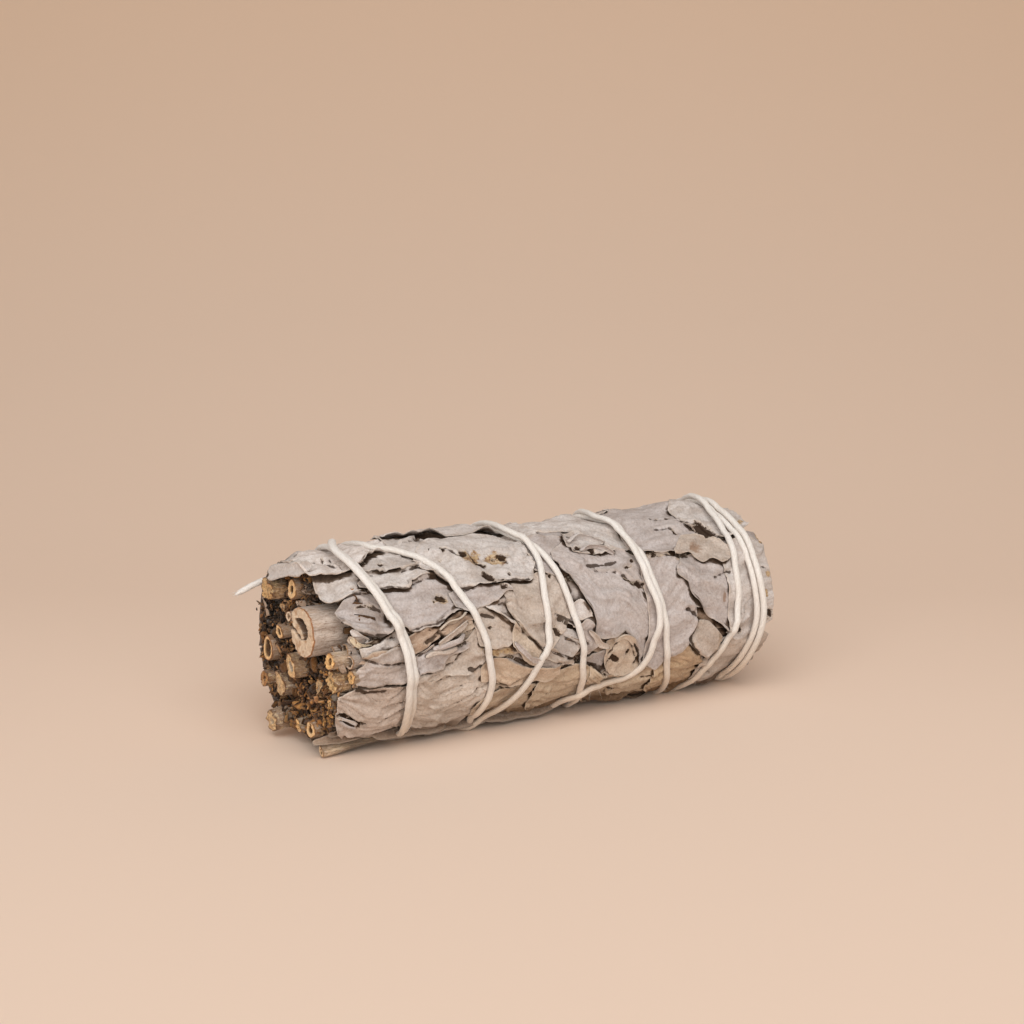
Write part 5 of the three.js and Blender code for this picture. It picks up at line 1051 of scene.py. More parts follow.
def tube_mesh(C, ra, rb, sides, surface_axis=True, plies=4, pitch=9.0, depth=0.03, seed=0, taper=(0, 0)):
    """A twisted soft string along C: ra wide, rb high, with its plies showing."""
    n = len(C)
    T = np.gradient(C, axis=0)
    T /= np.linalg.norm(T, axis=1, keepdims=True)
    if surface_axis:
        out = C - np.array([0, 0, AXIS_Z])
        out[:, 0] = 0
    else:
        out = np.tile(np.array([0, 0, 1.0]), (n, 1))
    out = out - (out * T).sum(1, keepdims=True) * T
    out /= np.linalg.norm(out, axis=1, keepdims=True)
    side = np.cross(T, out)
    s = np.r_[0, np.cumsum(np.linalg.norm(np.diff(C, axis=0), axis=1))]
    ang = 2 * math.pi * np.arange(sides) / sides
    A, S = np.meshgrid(ang, s)
    ph = 2 * math.pi * S / pitch
    ply = np.abs(np.cos((A * plies + ph * plies / 1.0) / 2.0 + 0.6 * np.sin(S / 7.0)))
    k = 1 - depth * (1 - ply) ** 1.5 * 2.2
    nz = fbm(np.stack([S.ravel() / 2.2, np.cos(A.ravel()) * 0.8, np.sin(A.ravel()) * 0.8 + seed], 1), 2, 77 + seed).reshape(S.shape)
    k = k * (1 + 0.05 * nz)
    wv = 1 + 0.07 * noise3(np.stack([s / 9.0, np.full(n, seed + 0.5), np.zeros(n)], 1), 78)
    end = np.ones(n)
    if taper[0]:
        end *= np.clip(s / taper[0], 0.05, 1) ** 0.5
    if taper[1]:
        end *= np.clip((s[-1] - s) / taper[1], 0.05, 1) ** 0.5
    P = (
        C[:, None]
        + side[:, None] * (np.cos(A) * ra * k * (wv * end)[:, None])[..., None]
        + out[:, None] * (np.sin(A) * rb * k * end[:, None])[..., None]
    )
    idx = np.arange(n * sides).reshape(n, sides)
    nx = np.roll(idx, -1, 1)
    q = np.stack([idx[:-1], nx[:-1], nx[1:], idx[1:]], -1).reshape(-1, 4)
    v = P.reshape(-1, 3)
    cap = np.vstack([C[0], C[-1]])
    v = np.vstack([v, cap])
    m = n * sides
    t0 = np.stack([idx[0], np.full(sides, m), np.roll(idx[0], -1)], -1)
    t1 = np.stack([np.roll(idx[-1], -1), np.full(sides, m + 1), idx[-1]], -1)
    groove = np.r_[(1 - ply).ravel(), 0, 0]
    tw = A + S * 0.55
    fib = np.stack([S.ravel() * 0.16, np.cos(tw).ravel(), np.sin(tw).ravel()], 1)
    fib = np.vstack([fib, fib[:1], fib[-1:]])
    return v, q, np.vstack([t0, t1]), (groove, fib), (T, out, side, s)


sb = Batch()
wide = smooth01((-38.0 - CENTRE[:, :1]) / 8.0)
v, q, t3, groove, fr = tube_mesh(CENTRE, 0.7 + 0.12 * wide, 0.56 + 0.05 * wide, 12)
v[:, 2] = np.maximum(v[:, 2], 0.02)
# low: how much painted shade the string takes near the floor
sb.add(v, quads=q, tris=t3, groove=groove[0], fx=groove[1][:, 0], fy=groove[1][:, 1], fz=groove[1][:, 2], low=smooth01((18.0 - v[:, 2]) / 15.0))

# the knot and the loose end
kr = float(base_radius(KNOT[0], KNOT[1]) + sample(SURF_TOP, KNOT[0], KNOT[1])) + 0.75
knot = place(KNOT[0], KNOT[1], kr)
e1 = np.array([1.0, 0, 0])
e3 = knot - np.array([KNOT[0], 0, AXIS_Z])
e3 /= np.linalg.norm(e3)
e2 = np.cross(e3, e1)
ang = np.linspace(0, 2 * math.pi, 41)
trefoil = np.stack([np.sin(ang) + 2 * np.sin(2 * ang), np.cos(ang) - 2 * np.cos(2 * ang), -np.sin(3 * ang)], 1)
kp = knot + 0.42 * (trefoil[:, :1] * e1 + trefoil[:, 1:2] * e2) + 0.42 * trefoil[:, 2:] * e3
kc = catmull(kp, 0.2)
v, q, t3, groove, _ = tube_mesh(kc, 0.6, 0.5, 10, seed=3)
sb.add(v, quads=q, tris=t3, groove=groove[0], fx=groove[1][:, 0], fy=groove[1][:, 1], fz=groove[1][:, 2])
for a_end, b_end in ((CENTRE[0], knot), (CENTRE[-1], knot)):
    mid = (a_end + b_end) / 2
    c = catmull(np.array([a_end, mid + 0.25 * e3, b_end]), 0.25)
    v, q, t3, groove, _ = tube_mesh(c, 0.74, 0.58, 12, seed=5)
    sb.add(v, quads=q, tris=t3, groove=groove[0], fx=groove[1][:, 0], fy=groove[1][:, 1], fz=groove[1][:, 2])
tip = np.array(TAIL_TIP)
tail = catmull(np.array([knot, knot + (tip - knot) * 0.3 + [0, 0.5, 0.6], knot + (tip - knot) * 0.68 + [0, 0.3, 0.6], tip]), 0.25)
v, q, t3, groove, tfr = tube_mesh(tail, 0.7, 0.62, 12, surface_axis=False, seed=7, depth=0.1, taper=(0, 1.6))
sb.add(v, quads=q, tris=t3, groove=groove[0], fx=groove[1][:, 0], fy=groove[1][:, 1], fz=groove[1][:, 2])
# a short second end on the knot
c = catmull(np.array([knot, knot + e1 * 1.6 + e2 * 1.6 + e3 * 0.5, knot + e1 * 3.4 + e2 * 3.6 + e3 * 0.2]), 0.25)
v, q, t3, groove, _ = tube_mesh(c, 0.55, 0.5, 12, surface_axis=False, seed=8, taper=(0, 1.2))
sb.add(v, quads=q, tris=t3, groove=groove[0], fx=groove[1][:, 0], fy=groove[1][:, 1], fz=groove[1][:, 2])


def fibre(p0, d, length, bend, width, batch):
    """One loose cotton fibre: a thin three-sided strand."""
    n = 6
    s = np.linspace(0, 1, n)[:, None]
    side = np.cross(d, bend)
    side /= np.linalg.norm(side) + 1e-9
    P = p0 + d * s * length + bend * (s**2) * length
    T = np.gradient(P, axis=0)
    T /= np.linalg.norm(T, axis=1, keepdims=True)
    b1 = np.cross(T, side)
    b1 /= np.linalg.norm(b1, axis=1, keepdims=True) + 1e-9
    b2 = np.cross(T, b1)
    w = (width * (1 - 0.8 * s))
    ring = [P + w * (math.cos(a) * b1 + math.sin(a) * b2) for a in (0, 2.094, 4.189)]
    v = np.stack(ring, 1).reshape(-1, 3)
    q = []
    for i in range(n - 1):
        for k in range(3):
            q.append((i * 3 + k, i * 3 + (k + 1) % 3, (i + 1) * 3 + (k + 1) % 3, (i + 1) * 3 + k))
    t = [(0, 2, 1), ((n - 1) * 3, (n - 1) * 3 + 1, (n - 1) * 3 + 2)]
    batch.add(v, quads=np.array(q), tris=np.array(t), groove=0.0, fx=0.3, fy=0.2, fz=0.1)


T_, out_, side_, s_ = fr
fr_rng = np.random.default_rng(3)
for k in range(520):
    i = fr_rng.integers(5, len(CENTRE) - 5)
    a = fr_rng.uniform(0, math.pi)
    nrm = math.cos(a) * side_[i] + math.sin(a) * out_[i]
    p0 = CENTRE[i] + nrm * 0.6
    d = nrm * fr_rng.uniform(0.2, 0.9) + T_[i] * fr_rng.uniform(-1, 1)
    d /= np.linalg.norm(d)
    bend = fr_rng.normal(0, 0.5, 3)
    L = fr_rng.uniform(0.4, 1.5)
    if p0[2] + d[2] * L + bend[2] * L < 0.1:
        continue
    fibre(p0, d, L, bend, 0.018, sb)
for k in range(26):
    d = (tip - tail[-6]) / np.linalg.norm(tip - tail[-6]) + fr_rng.normal(0, 0.25, 3)
    fibre(tail[-5] + fr_rng.normal(0, 0.25, 3), d, fr_rng.uniform(0.8, 1.7), fr_rng.normal(0, 0.3, 3), 0.03, sb)

string = sb.build("cotton_string_wound")


def string_material():
    m = Mat("cotton_string")
    v = m.node("ShaderNodeCombineXYZ")
    for i, k in enumerate(("fx", "fy", "fz")):
        m.link(m.attr(k), v.inputs[i])
    streak = m.noise(7.0, 3, 0.65, vec=v.outputs[0])
    thin = m.noise(16.0, 2, 0.6, vec=v.outputs[0])
    fine = m.noise(2600, 3, 0.6)
    slow = m.noise(110, 2, 0.5)
    c = m.mix(m.remap(slow, 0.35, 0.7, 0.0, 1.0), srgb(236, 230, 223), srgb(243, 239, 234))
    c = m.mix(m.remap(streak, 0.5, 0.3, 0.0, 0.45), c, srgb(196, 183, 170))
    c = m.mix(m.remap(thin, 0.48, 0.3, 0.0, 0.35), c, srgb(204, 192, 180))
    # painted shade in the grooves between the plies
    c = m.mix(m.math("MULTIPLY", m.attr("groove"), 0.22), c, srgb(190, 176, 162))
    c = m.mix(m.remap(fine, 0.4, 0.6, 0.16, 0.0), c, srgb(196, 185, 174))
    # painted shade, darker and warmer towards the floor
    c = m.mix(m.math("MULTIPLY", m.attr("low"), 0.75), c, (0.78, 0.64, 0.5), "MULTIPLY")
    h = m.math("ADD", m.math("MULTIPLY", fine, 0.3), m.math("MULTIPLY", streak, 0.8))
    h = m.math("ADD", h, m.math("MULTIPLY", thin, 0.5))
    return m.done(c, m.remap(fine, 0.3, 0.7, 0.85, 0.98), m.bump(h, 0.45, 0.00018), sheen=0.3, sheen_rough=0.5, spec=0.15)


string.data.materials.append(string_material())
keep(string, "string", "cotton_string")


# ------------------------------------------------------------------------------------------------ the stems
STEMS = [
    # name, end x, y, z, half width, half height, bore, slope y, slope z, length, kind
    ("stem_curled", -52.6, -6.61, 24.12, 4.3, 4.4, 2.0, 0.0, 0.0, 22, "curl"),
    ("stem_02", -52.2, 10.54, 28.88, 2.6, 2.3, 0.0, -0.02, -0.05, 20, "ragged"),
    ("stem_03", -50.6, 2.2, 30.21, 2.0, 1.8, 0.7, 0.0, -0.03, 20, "tube"),
    ("stem_04", -51.0, 7.84, 20.81, 1.6, 1.45, 0.7, 0.0, 0.0, 18, "tube"),
    ("stem_05", -51.6, 12.24, 16.58, 2.3, 2.4, 1.5, -0.02, 0.02, 20, "thin"),
    ("stem_06", -51.6, 1.27, 15.54, 2.2, 2.5, 0.9, 0.0, 0.0, 20, "flat"),
    ("stem_07", -52.2, 12.88, 10.44, 1.7, 1.5, 0.5, -0.03, 0.03, 18, "dark"),
    ("stem_08", -51.4, 7.37, 10.7, 2.4, 2.6, 0.0, 0.0, 0.0, 20, "grey"),
    ("stem_09", -50.9, -14.89, 20.38, 1.6, 1.5, 0.6, 0.03, 0.0, 18, "stub"),
    ("stem_10", -50.0, -13.68, 15.99, 2.2, 2.2, 0.0, 0.03, 0.0, 18, "ragged"),
    ("stem_11", -53.2, 7.47, 3.48, 2.1, 2.2, 0.6, -0.06, 0.16, 18, "grey"),
    ("stem_12", -50.4, 1.24, 3.75, 1.5, 1.35, 0.6, 0.0, 0.05, 18, "stub"),
    ("stem_13", -50.8, -5.38, 4.85, 1.7, 1.6, 0.7, 0.02, 0.05, 18, "tube"),
    ("stem_splayed", -49.95, -8.11, 1.20, 1.15, 1.1, 0.5, 0.0, 0.09, 21, "thinstem"),
]

# faces: colour of the cut wood, of its outer ring, of the pith, the bark's colour and how rough the cut is
LOOK = {
    "curl": (srgb(228, 206, 180), srgb(142, 92, 56), srgb(128, 96, 70), srgb(204, 186, 172), 0.14),
    "ragged": (srgb(236, 192, 132), srgb(140, 94, 54), srgb(234, 204, 154), srgb(186, 150, 108), 0.55),
    "tube": (srgb(246, 205, 150), srgb(154, 104, 58), srgb(70, 46, 30), srgb(188, 156, 126), 0.12),
    "thin": (srgb(248, 205, 148), srgb(144, 94, 54), srgb(84, 62, 46), srgb(172, 140, 110), 0.12),
    "flat": (srgb(244, 205, 152), srgb(150, 100, 56), srgb(222, 208, 188), srgb(184, 152, 118), 0.3),
    "dark": (srgb(178, 126, 76), srgb(100, 66, 40), srgb(60, 42, 30), srgb(130, 96, 68), 0.35),
    "grey": (srgb(224, 188, 142), srgb(120, 84, 54), srgb(222, 204, 180), srgb(156, 130, 104), 0.4),
    "stub": (srgb(244, 197, 134), srgb(158, 106, 56), srgb(120, 82, 46), srgb(200, 176, 150), 0.25),
    "thinstem": (srgb(238, 206, 164), srgb(154, 106, 64), srgb(104, 72, 46), srgb(216, 192, 162), 0.15),
}


def stem_frame(x, y, z, sy, sz):
    d = np.array([1, sy, sz], float)
    d /= np.linalg.norm(d)
    side = np.cross([0, 0, 1.0], d)
    side /= np.linalg.norm(side)
    top = np.cross(d, side)
    return np.array([x, y, z], float), d, side, top


def grid_body(P, closed_v=True):
    """Quads of an (n, m, 3) grid closed round its second index."""
    n, m = P.shape[:2]
    idx = np.arange(n * m).reshape(n, m)
    nx = np.roll(idx, -1, 1)
    return np.stack([idx[:-1], nx[:-1], nx[1:], idx[1:]], -1).reshape(-1, 4)


def round_stem(name, x, y, z, a, bb, bore, sy, sz, length, kind, seed, m=56):
    wood, ring, pith, bark, ragged = LOOK[kind]
    o, d, side, top = stem_frame(x, y, z, sy, sz)
    ang = 2 * math.pi * np.arange(m) / m
    # profile rows: (radius fraction, depth along the stem, zone) zone 0 pith, 1 wood, 2 ring, 3 bark
    rb = bore / min(a, bb)
    rows = []
    if bore > 0:
        rows += [(0.02, 4.0, 0), (rb * 0.55, 3.8, 0), (rb * 0.85, 2.4, 0), (rb * 0.95, 1.0, 0), (rb, 0.35, 0), (rb * 1.06, 0.08, 0.6)]
        start = rb * 1.12
    else:
        rows += [(0.02, 0.1, 0)]
        start = 0.12
    for f in np.linspace(start, 0.86, 8):
        rows.append((f, 0.0, 0.4 if f < start + 0.12 and bore == 0 else 1))
    rows += [(0.93, 0.0, 2), (0.975, 0.05, 2), (1.0, 0.16, 2.6)]
    for l in [v for v in (0.4, 0.8, 1.4, 2.2, 3.2, 4.4, 6, 8, 10.5, 13.5) if v < length - 2.2] + [length - 2]:
        rows.append((1.0, l, 3))
    rows += [(0.9, length - 0.5, 3), (0.5, length, 3), (0.02, length, 3)]
    f = np.array([r[0] for r in rows])
    l = np.array([r[1] for r in rows])
    zone = np.array([r[2] for r in rows])
    F, A = np.meshgrid(f, ang, indexing="ij")
    Lr = np.broadcast_to(l[:, None], F.shape).copy()
    Z = np.broadcast_to(zone[:, None], F.shape)
    # lobed outline, fine grooves along the bark
    lobe = 1 + 0.06 * np.sin(2 * A + seed) + 0.05 * np.sin(3 * A + 2.1 * seed) + 0.03 * np.sin(5 * A + 0.7 * seed)
    groove = 0.028 * noise3(np.stack([np.cos(A).ravel() * 5, np.sin(A).ravel() * 5, Lr.ravel() / 7 + seed], 1), seed).reshape(A.shape)
    bend = 0.10 * noise3(np.stack([Lr.ravel() / 4, np.full(Lr.size, seed * 1.0), np.zeros(Lr.size)], 1), seed + 3).reshape(A.shape)
    R = F * lobe * (1 + groove * (Z > 2)) * (1 + bend * 0.4 * (Z > 2))
    cut = (Z < 2.5) & (Lr < 0.3)
    q3 = np.stack([np.cos(A).ravel() * F.ravel() * 3.2, np.sin(A).ravel() * F.ravel() * 3.2, np.full(A.size, seed * 2.0)], 1)
    rough = fbm(q3, 3, seed + 9).reshape(A.shape)
    tilt = 0.25 * F * np.cos(A + seed)
    Lr = Lr + np.where(cut | (Lr < 1.2), (ragged * rough * 1.2 + tilt * min(1.0, ragged * 2 + 0.3)) * np.clip(1.2 - Lr, 0, 1), 0)
    P = o + side * (R * np.cos(A) * a)[..., None] + top * (R * np.sin(A) * bb)[..., None] + d * Lr[..., None]
    bow = 0.25 * np.sin(Lr / length * 3.1 + seed)
    P = P + top * (bow * np.clip((Lr - 2) / 6, 0, 1))[..., None]
    quads = grid_body(P)[:, ::-1]
    v = P.reshape(-1, 3)
    c0, c1 = P[0].mean(0), P[-1].mean(0)
    n = len(v)
    i0, i1 = np.arange(m), np.arange(m) + (len(rows) - 1) * m
    tris = np.vstack([np.stack([i0, np.roll(i0, -1), np.full(m, n)], -1)[:, ::-1][:, ::-1], np.stack([i1, np.full(m, n + 1), np.roll(i1, -1)], -1)])
    v = np.vstack([v, c0, c1])
    z = np.r_[Z.ravel(), 0, 3]
    col = np.zeros((len(v), 3))
    n1 = noise3(v * 1.3, 90 + seed)[:, None]
    stages = [(0, pith), (1, wood), (2, ring), (3, bark)]
    for (za, ca), (zb, cb) in zip(stages[:-1], stages[1:]):
        m_ = (z >= za) & (z <= zb)
        k = (z[m_] - za)[:, None]
        col[m_] = ca * (1 - k) + cb * k
    col *= 1 + 0.12 * n1
    # the bark fades to brown near the cut
    bare = np.clip(1 - np.r_[Lr.ravel(), 0, 9] / 2.2, 0, 1)[:, None] * (z[:, None] > 2.5)
    col = col * (1 - 0.45 * bare) + srgb(146, 104, 66) * 0.45 * bare
    # painted shade deep in the bore
    deep = np.clip((np.r_[Lr.ravel(), 0, 0] - 0.15) / 2.0, 0, 1) * (z < 0.7)
    # painted shade on bark that runs in among the leaves
    hidden = np.clip((np.r_[P[..., 0].ravel(), 0, 0] + 48.0) / 4.0, 0, 1) * (z > 2.5)
    return v, quads, tris, col, {"cut": (z < 2.4).astype(float), "deep": deep, "inside": hidden * 0.9, "rag": np.clip((ragged - 0.1) * 2.2, 0, 1) * np.clip(3.2 - np.r_[Lr.ravel(), 0, 9] - 0.4 * z, 0, 1)}


ROLL = [
    # the rolled strip in the cut face: right, up, half thickness (mm), from the tucked-in end to the outer end
    (0.35, -1.15, 0.34), (-0.4, -0.5, 0.45), (-1.3, 0.2, 0.5), (-2.2, 0.75, 0.5), (-3.1, 1.3, 0.55), (-3.45, 2.05, 0.62), (-3.0, 2.85, 0.8), (-2.0, 3.35, 0.95),
    (-0.3, 3.6, 1.0), (1.5, 3.25, 1.1), (2.9, 2.2, 1.15), (3.4, 0.5, 1.15), (3.1, -1.2, 1.3), (2.2, -2.3, 1.5), (0.5, -2.95, 1.65), (-1.2, -2.8, 1.5), (-2.7, -2.0, 1.2),
    (-3.5, -0.9, 0.9), (-3.85, -0.15, 0.5),
]


def curled_stem(name, x, y, z, a, bb, bore, sy, sz, length, kind, seed):
    """A thick strip rolled up like a scroll, with its inner end tucked into the opening."""
    wood, ring, pith, bark, ragged = LOOK[kind]
    o, d, side, top = stem_frame(x, y, z, sy, sz)
    line = catmull(np.array(ROLL), 0.22)
    C, half = line[:, :2] * np.array([-1.0, 1.0]), line[:, 2]
    Tn = np.gradient(C, axis=0)
    Tn /= np.linalg.norm(Tn, axis=1, keepdims=True)
    N = np.stack([-Tn[:, 1], Tn[:, 0]], 1)
    n = len(C)
    e = np.minimum(np.arange(n), np.arange(n)[::-1]) / 4.0
    half = half * np.sqrt(np.clip(1 - (1 - np.clip(e, 0, 1)) ** 2, 0.02, 1))
    one_, two_ = C - N * half[:, None], C + N * half[:, None]
    k = n // 2
    if np.linalg.norm(one_[k]) < np.linalg.norm(two_[k]):
        one_, two_ = two_, one_
    outer, inner = one_, two_
    loop = np.vstack([outer, inner[::-1]])
    m = len(loop)
    area_ = 0.5 * np.sum(loop[:, 0] * np.roll(loop[:, 1], -1) - np.roll(loop[:, 0], -1) * loop[:, 1])
    midl = np.vstack([C, C[::-1]])
    rows, zone, depth = [], [], []
    for f in (0.0, 0.3, 0.55, 0.75, 0.88, 0.96, 1.0):
        rows.append(midl * (1 - f) + loop * f)
        zone.append(1 if f < 0.9 else 2)
        depth.append(0.0 if f < 0.9 else (0.06 if f < 0.97 else 0.2))
    for l in (0.45, 0.9, 1.5, 2.3, 3.2, 4.2, 5.2, 6.4, 7.6, 9, 11, 14, 17, length - 1):
        rows.append(loop * (1 - 0.003 * l))
        zone.append(3)
        depth.append(l)
    R = np.array(rows)
    nr = len(R)
    Dp = np.broadcast_to(np.array(depth)[:, None], R.shape[:2]).copy()
    Zn = np.broadcast_to(np.array(zone, float)[:, None], R.shape[:2])
    q3 = np.stack([R[..., 0].ravel() * 1.3, R[..., 1].ravel() * 1.3, np.full(nr * m, 3.3)], 1)
    rough = fbm(q3, 3, seed).reshape(R.shape[:2])
    Dp = Dp + np.clip(1.3 - Dp, 0, 1) * (0.3 * rough - 0.05 * R[..., 0])
    gr = noise3(np.stack([R[..., 0].ravel() * 1.5, R[..., 1].ravel() * 1.5, Dp.ravel() / 7], 1), seed + 4).reshape(R.shape[:2])
    gr2 = noise3(np.stack([R[..., 0].ravel() / 2.5, R[..., 1].ravel() / 2.5, Dp.ravel() / 5], 1), seed + 6).reshape(R.shape[:2])
    Rn = R * (1 + (0.02 * gr + 0.03 * gr2)[..., None] * (Zn > 2)[..., None])
    P = o + side * Rn[..., 0:1] + top * Rn[..., 1:2] + d * Dp[..., None]
    quads = grid_body(P)
    if area_ < 0:
        quads = quads[:, ::-1]
    v = P.reshape(-1, 3)
    far = (nr - 1) * m
    fq = np.array([(far + i, far + i + 1, far + m - 2 - i, far + m - 1 - i) for i in range(n - 1)])
    if area_ < 0:
        fq = fq[:, ::-1]
    z_ = Zn.ravel()
    isin = np.zeros((nr, m), bool)
    isin[:, n:] = True
    isin = isin.ravel()
    col = np.where(z_[:, None] < 1.5, wood, np.where((z_[:, None] < 2.5) & ~isin[:, None], ring, np.where(z_[:, None] < 2.5, wood * 0.9, bark)))
    col = np.where((isin & (z_ > 2.5))[:, None], pith, col)
    col = col * (1 + 0.1 * noise3(v * 0.9, 91)[:, None])
    fl = smooth01((noise3(v * np.array([0.4, 1.4, 1.4]), 92) - 0.3) / 0.3)[:, None] * (z_[:, None] < 2.5)
    col = col * (1 - 0.6 * fl) + srgb(178, 128, 82) * 0.6 * fl
    warmp = smooth01((noise3(v * np.array([0.45, 0.6, 0.6]), 93) - 0.35) / 0.4)[:, None] * (z_[:, None] > 2.5)
    col = col * (1 - 0.4 * warmp) + srgb(200, 160, 124) * 0.4 * warmp
    # painted shade deeper in on the inner face of the roll
    deep = np.clip(Dp.ravel() / 2.6, 0, 1) * (isin & (z_ > 2.5))
    # painted shade on bark that runs in among the leaves
    hidden = np.clip((v[:, 0] + 43.0) / 3.0, 0, 1) * (z_ > 2.5) * (~isin)
    return v, np.vstack([quads, fq]), None, col, {"cut": (z_ < 2.4).astype(float), "deep": deep, "inside": hidden * 0.9}


def stem_material():
    m = Mat("cut_stem")
    tint = m.attr("tint", "Color")
    cut = m.attr("cut")
    along_ = m.noise(700, 4, 0.7, vec=m.scaled(0.12, 1, 1))
    fine = m.noise(2400, 3, 0.6)
    streak = m.noise(2100, 3, 0.65, vec=m.scaled(0.07, 1, 1))
    c = m.mix(m.remap(along_, 0.4, 0.68, 0.0, 0.45), tint, srgb(132, 108, 88))
    c = m.mix(m.remap(streak, 0.48, 0.38, 0.0, 0.42), c, srgb(118, 90, 68))
    c = m.mix(m.remap(streak, 0.55, 0.66, 0.0, 0.34), c, srgb(226, 212, 198))
    pit = m.noise(3100, 3, 0.7, vec=m.scaled(0.4, 1, 1))
    c = m.mix(m.remap(pit, 0.46, 0.36, 0.0, 0.5), c, srgb(124, 98, 78))
    c = m.mix(m.remap(pit, 0.55, 0.66, 0.0, 0.45), c, srgb(228, 216, 204))
    c = m.mix(m.remap(m.noise(420, 3, 0.6), 0.5, 0.8, 0.0, 0.3), c, srgb(210, 194, 178))
    woodc = m.mix(m.remap(fine, 0.35, 0.62, 0.35, 0.0), tint, srgb(168, 122, 78))
    woodc = m.mix(m.remap(m.noise(900, 3, 0.6), 0.55, 0.7, 0.0, 0.35), woodc, srgb(240, 222, 196))
    c = m.mix(cut, c, woodc)
    # torn ends: dark pits and pale fibres, painted as shade and highlight
    torn = m.noise(1150, 4, 0.7)
    rag = m.attr("rag")
    c = m.mix(m.math("MULTIPLY", m.remap(torn, 0.49, 0.4, 0.0, 0.75), rag), c, srgb(96, 62, 34))
    c = m.mix(m.math("MULTIPLY", m.remap(torn, 0.53, 0.64, 0.0, 0.85), rag), c, srgb(246, 216, 164))
    # painted shade deep in bores and rolls
    c = m.mix(m.math("MULTIPLY", m.attr("deep"), 0.85), c, srgb(46, 33, 24))
    # painted shade on bark among the leaves
    c = m.mix(m.math("MULTIPLY", m.attr("inside"), 0.8), c, srgb(60, 45, 34))
    h = m.math("ADD", m.math("MULTIPLY", along_, 0.8), m.math("MULTIPLY", fine, 0.4))
    h = m.math("ADD", h, m.math("MULTIPLY", m.math("MULTIPLY", streak, m.math("SUBTRACT", 1.0, cut)), 0.9))
    h = m.math("ADD", h, m.math("MULTIPLY", m.math("MULTIPLY", pit, m.math("SUBTRACT", 1.0, cut)), 0.8))
    h = m.math("ADD", h, m.math("MULTIPLY", m.math("MULTIPLY", torn, rag), 3.0))
    return m.done(c, 0.85, m.bump(h, 0.8, 0.0003), sheen=0.12, spec=0.25)


STEM = stem_material()
for k, s in enumerate(STEMS):
    fn = curled_stem if s[-1] == "curl" else round_stem
    v, q, tr, col, at = fn(*s, 5 + k * 3)
    faces = [q] if tr is None else [q, tr]
    ob = make_object(s[0] + "_cut", v, faces, at, {"tint": col})
    ob.data.materials.append(STEM)
    keep(ob, "stem", s[0])


# small pieces of stem and rolled leaf between the stems: end x, y, z, half width, half height, bore, slopes, length, kind
LOOK["roll"] = (srgb(216, 200, 184), srgb(170, 128, 88), srgb(84, 62, 46), srgb(198, 186, 178), 0.2)
LOOK["ochre"] = (srgb(190, 154, 108), srgb(150, 104, 60), srgb(120, 80, 46), srgb(150, 116, 80), 0.6)
BITS = [
    (-52.2, 0.35, 25.7, 0.95, 1.0, 0.5, 0.0, 0.0, 9, "curl"), (-49.9, 1.2, 27.7, 0.8, 0.55, 0.0, 0.12, 0.02, 9, "roll"), (-48.4, -9.4, 20.5, 2.0, 1.5, 0.9, -0.03, 0.05, 9, "roll"),
    (-47.4, -14.1, 21.2, 1.95, 1.8, 1.5, -0.06, 0.03, 9, "roll"), (-46.0, -16.3, 19.4, 1.2, 0.75, 0.45, 0.12, 0.0, 6, "ochre"), (-47.0, -16.2, 17.3, 1.2, 1.9, 0.8, 0.0, 0.0, 8, "roll"),
    (-48.0, -16.7, 20.3, 1.4, 1.35, 0.9, 0.16, 0.0, 6, "roll"), (-47.7, -16.9, 17.5, 1.3, 1.2, 0.35, 0.2, 0.0, 6, "stub"), (-46.6, -15.2, 23.6, 1.3, 1.2, 0.6, 0.1, 0.0, 6, "roll"),
    (-49.7, -11.6, 11.3, 0.9, 1.1, 0.4, 0.0, 0.0, 8, "stub"), (-49.4, -10.4, 14.0, 1.0, 0.9, 0.0, 0.0, 0.0, 8, "ochre"), (-48.9, 14.8, 21.5, 1.1, 1.0, 0.4, 0.0, 0.0, 7, "dark"),
    (-49.2, 9.8, 25.0, 1.2, 1.0, 0.0, 0.0, 0.0, 8, "grey"), (-49.4, 4.6, 24.2, 1.0, 1.2, 0.5, 0.0, 0.0, 8, "dark"), (-49.0, -1.6, 10.2, 1.2, 1.1, 0.0, 0.0, 0.0, 8, "dark"),
    (-49.2, -6.0, 13.2, 1.1, 1.3, 0.5, 0.0, 0.0, 8, "grey"), (-48.8, 3.2, 7.8, 1.1, 0.9, 0.0, 0.0, 0.0, 7, "ochre"), (-49.0, 11.6, 6.6, 1.0, 0.9, 0.3, 0.0, 0.0, 7, "stub"),
]
bb_ = Batch()
for k, s in enumerate(BITS):
    v, q, tr, col, at = round_stem("bit", *s, 60 + k * 3, 32)
    bb_.add(v, quads=q, tris=tr, colour=col, **at)
ob = bb_.build("stem_bits")
ob.data.materials.append(STEM)
keep(ob, "stem")


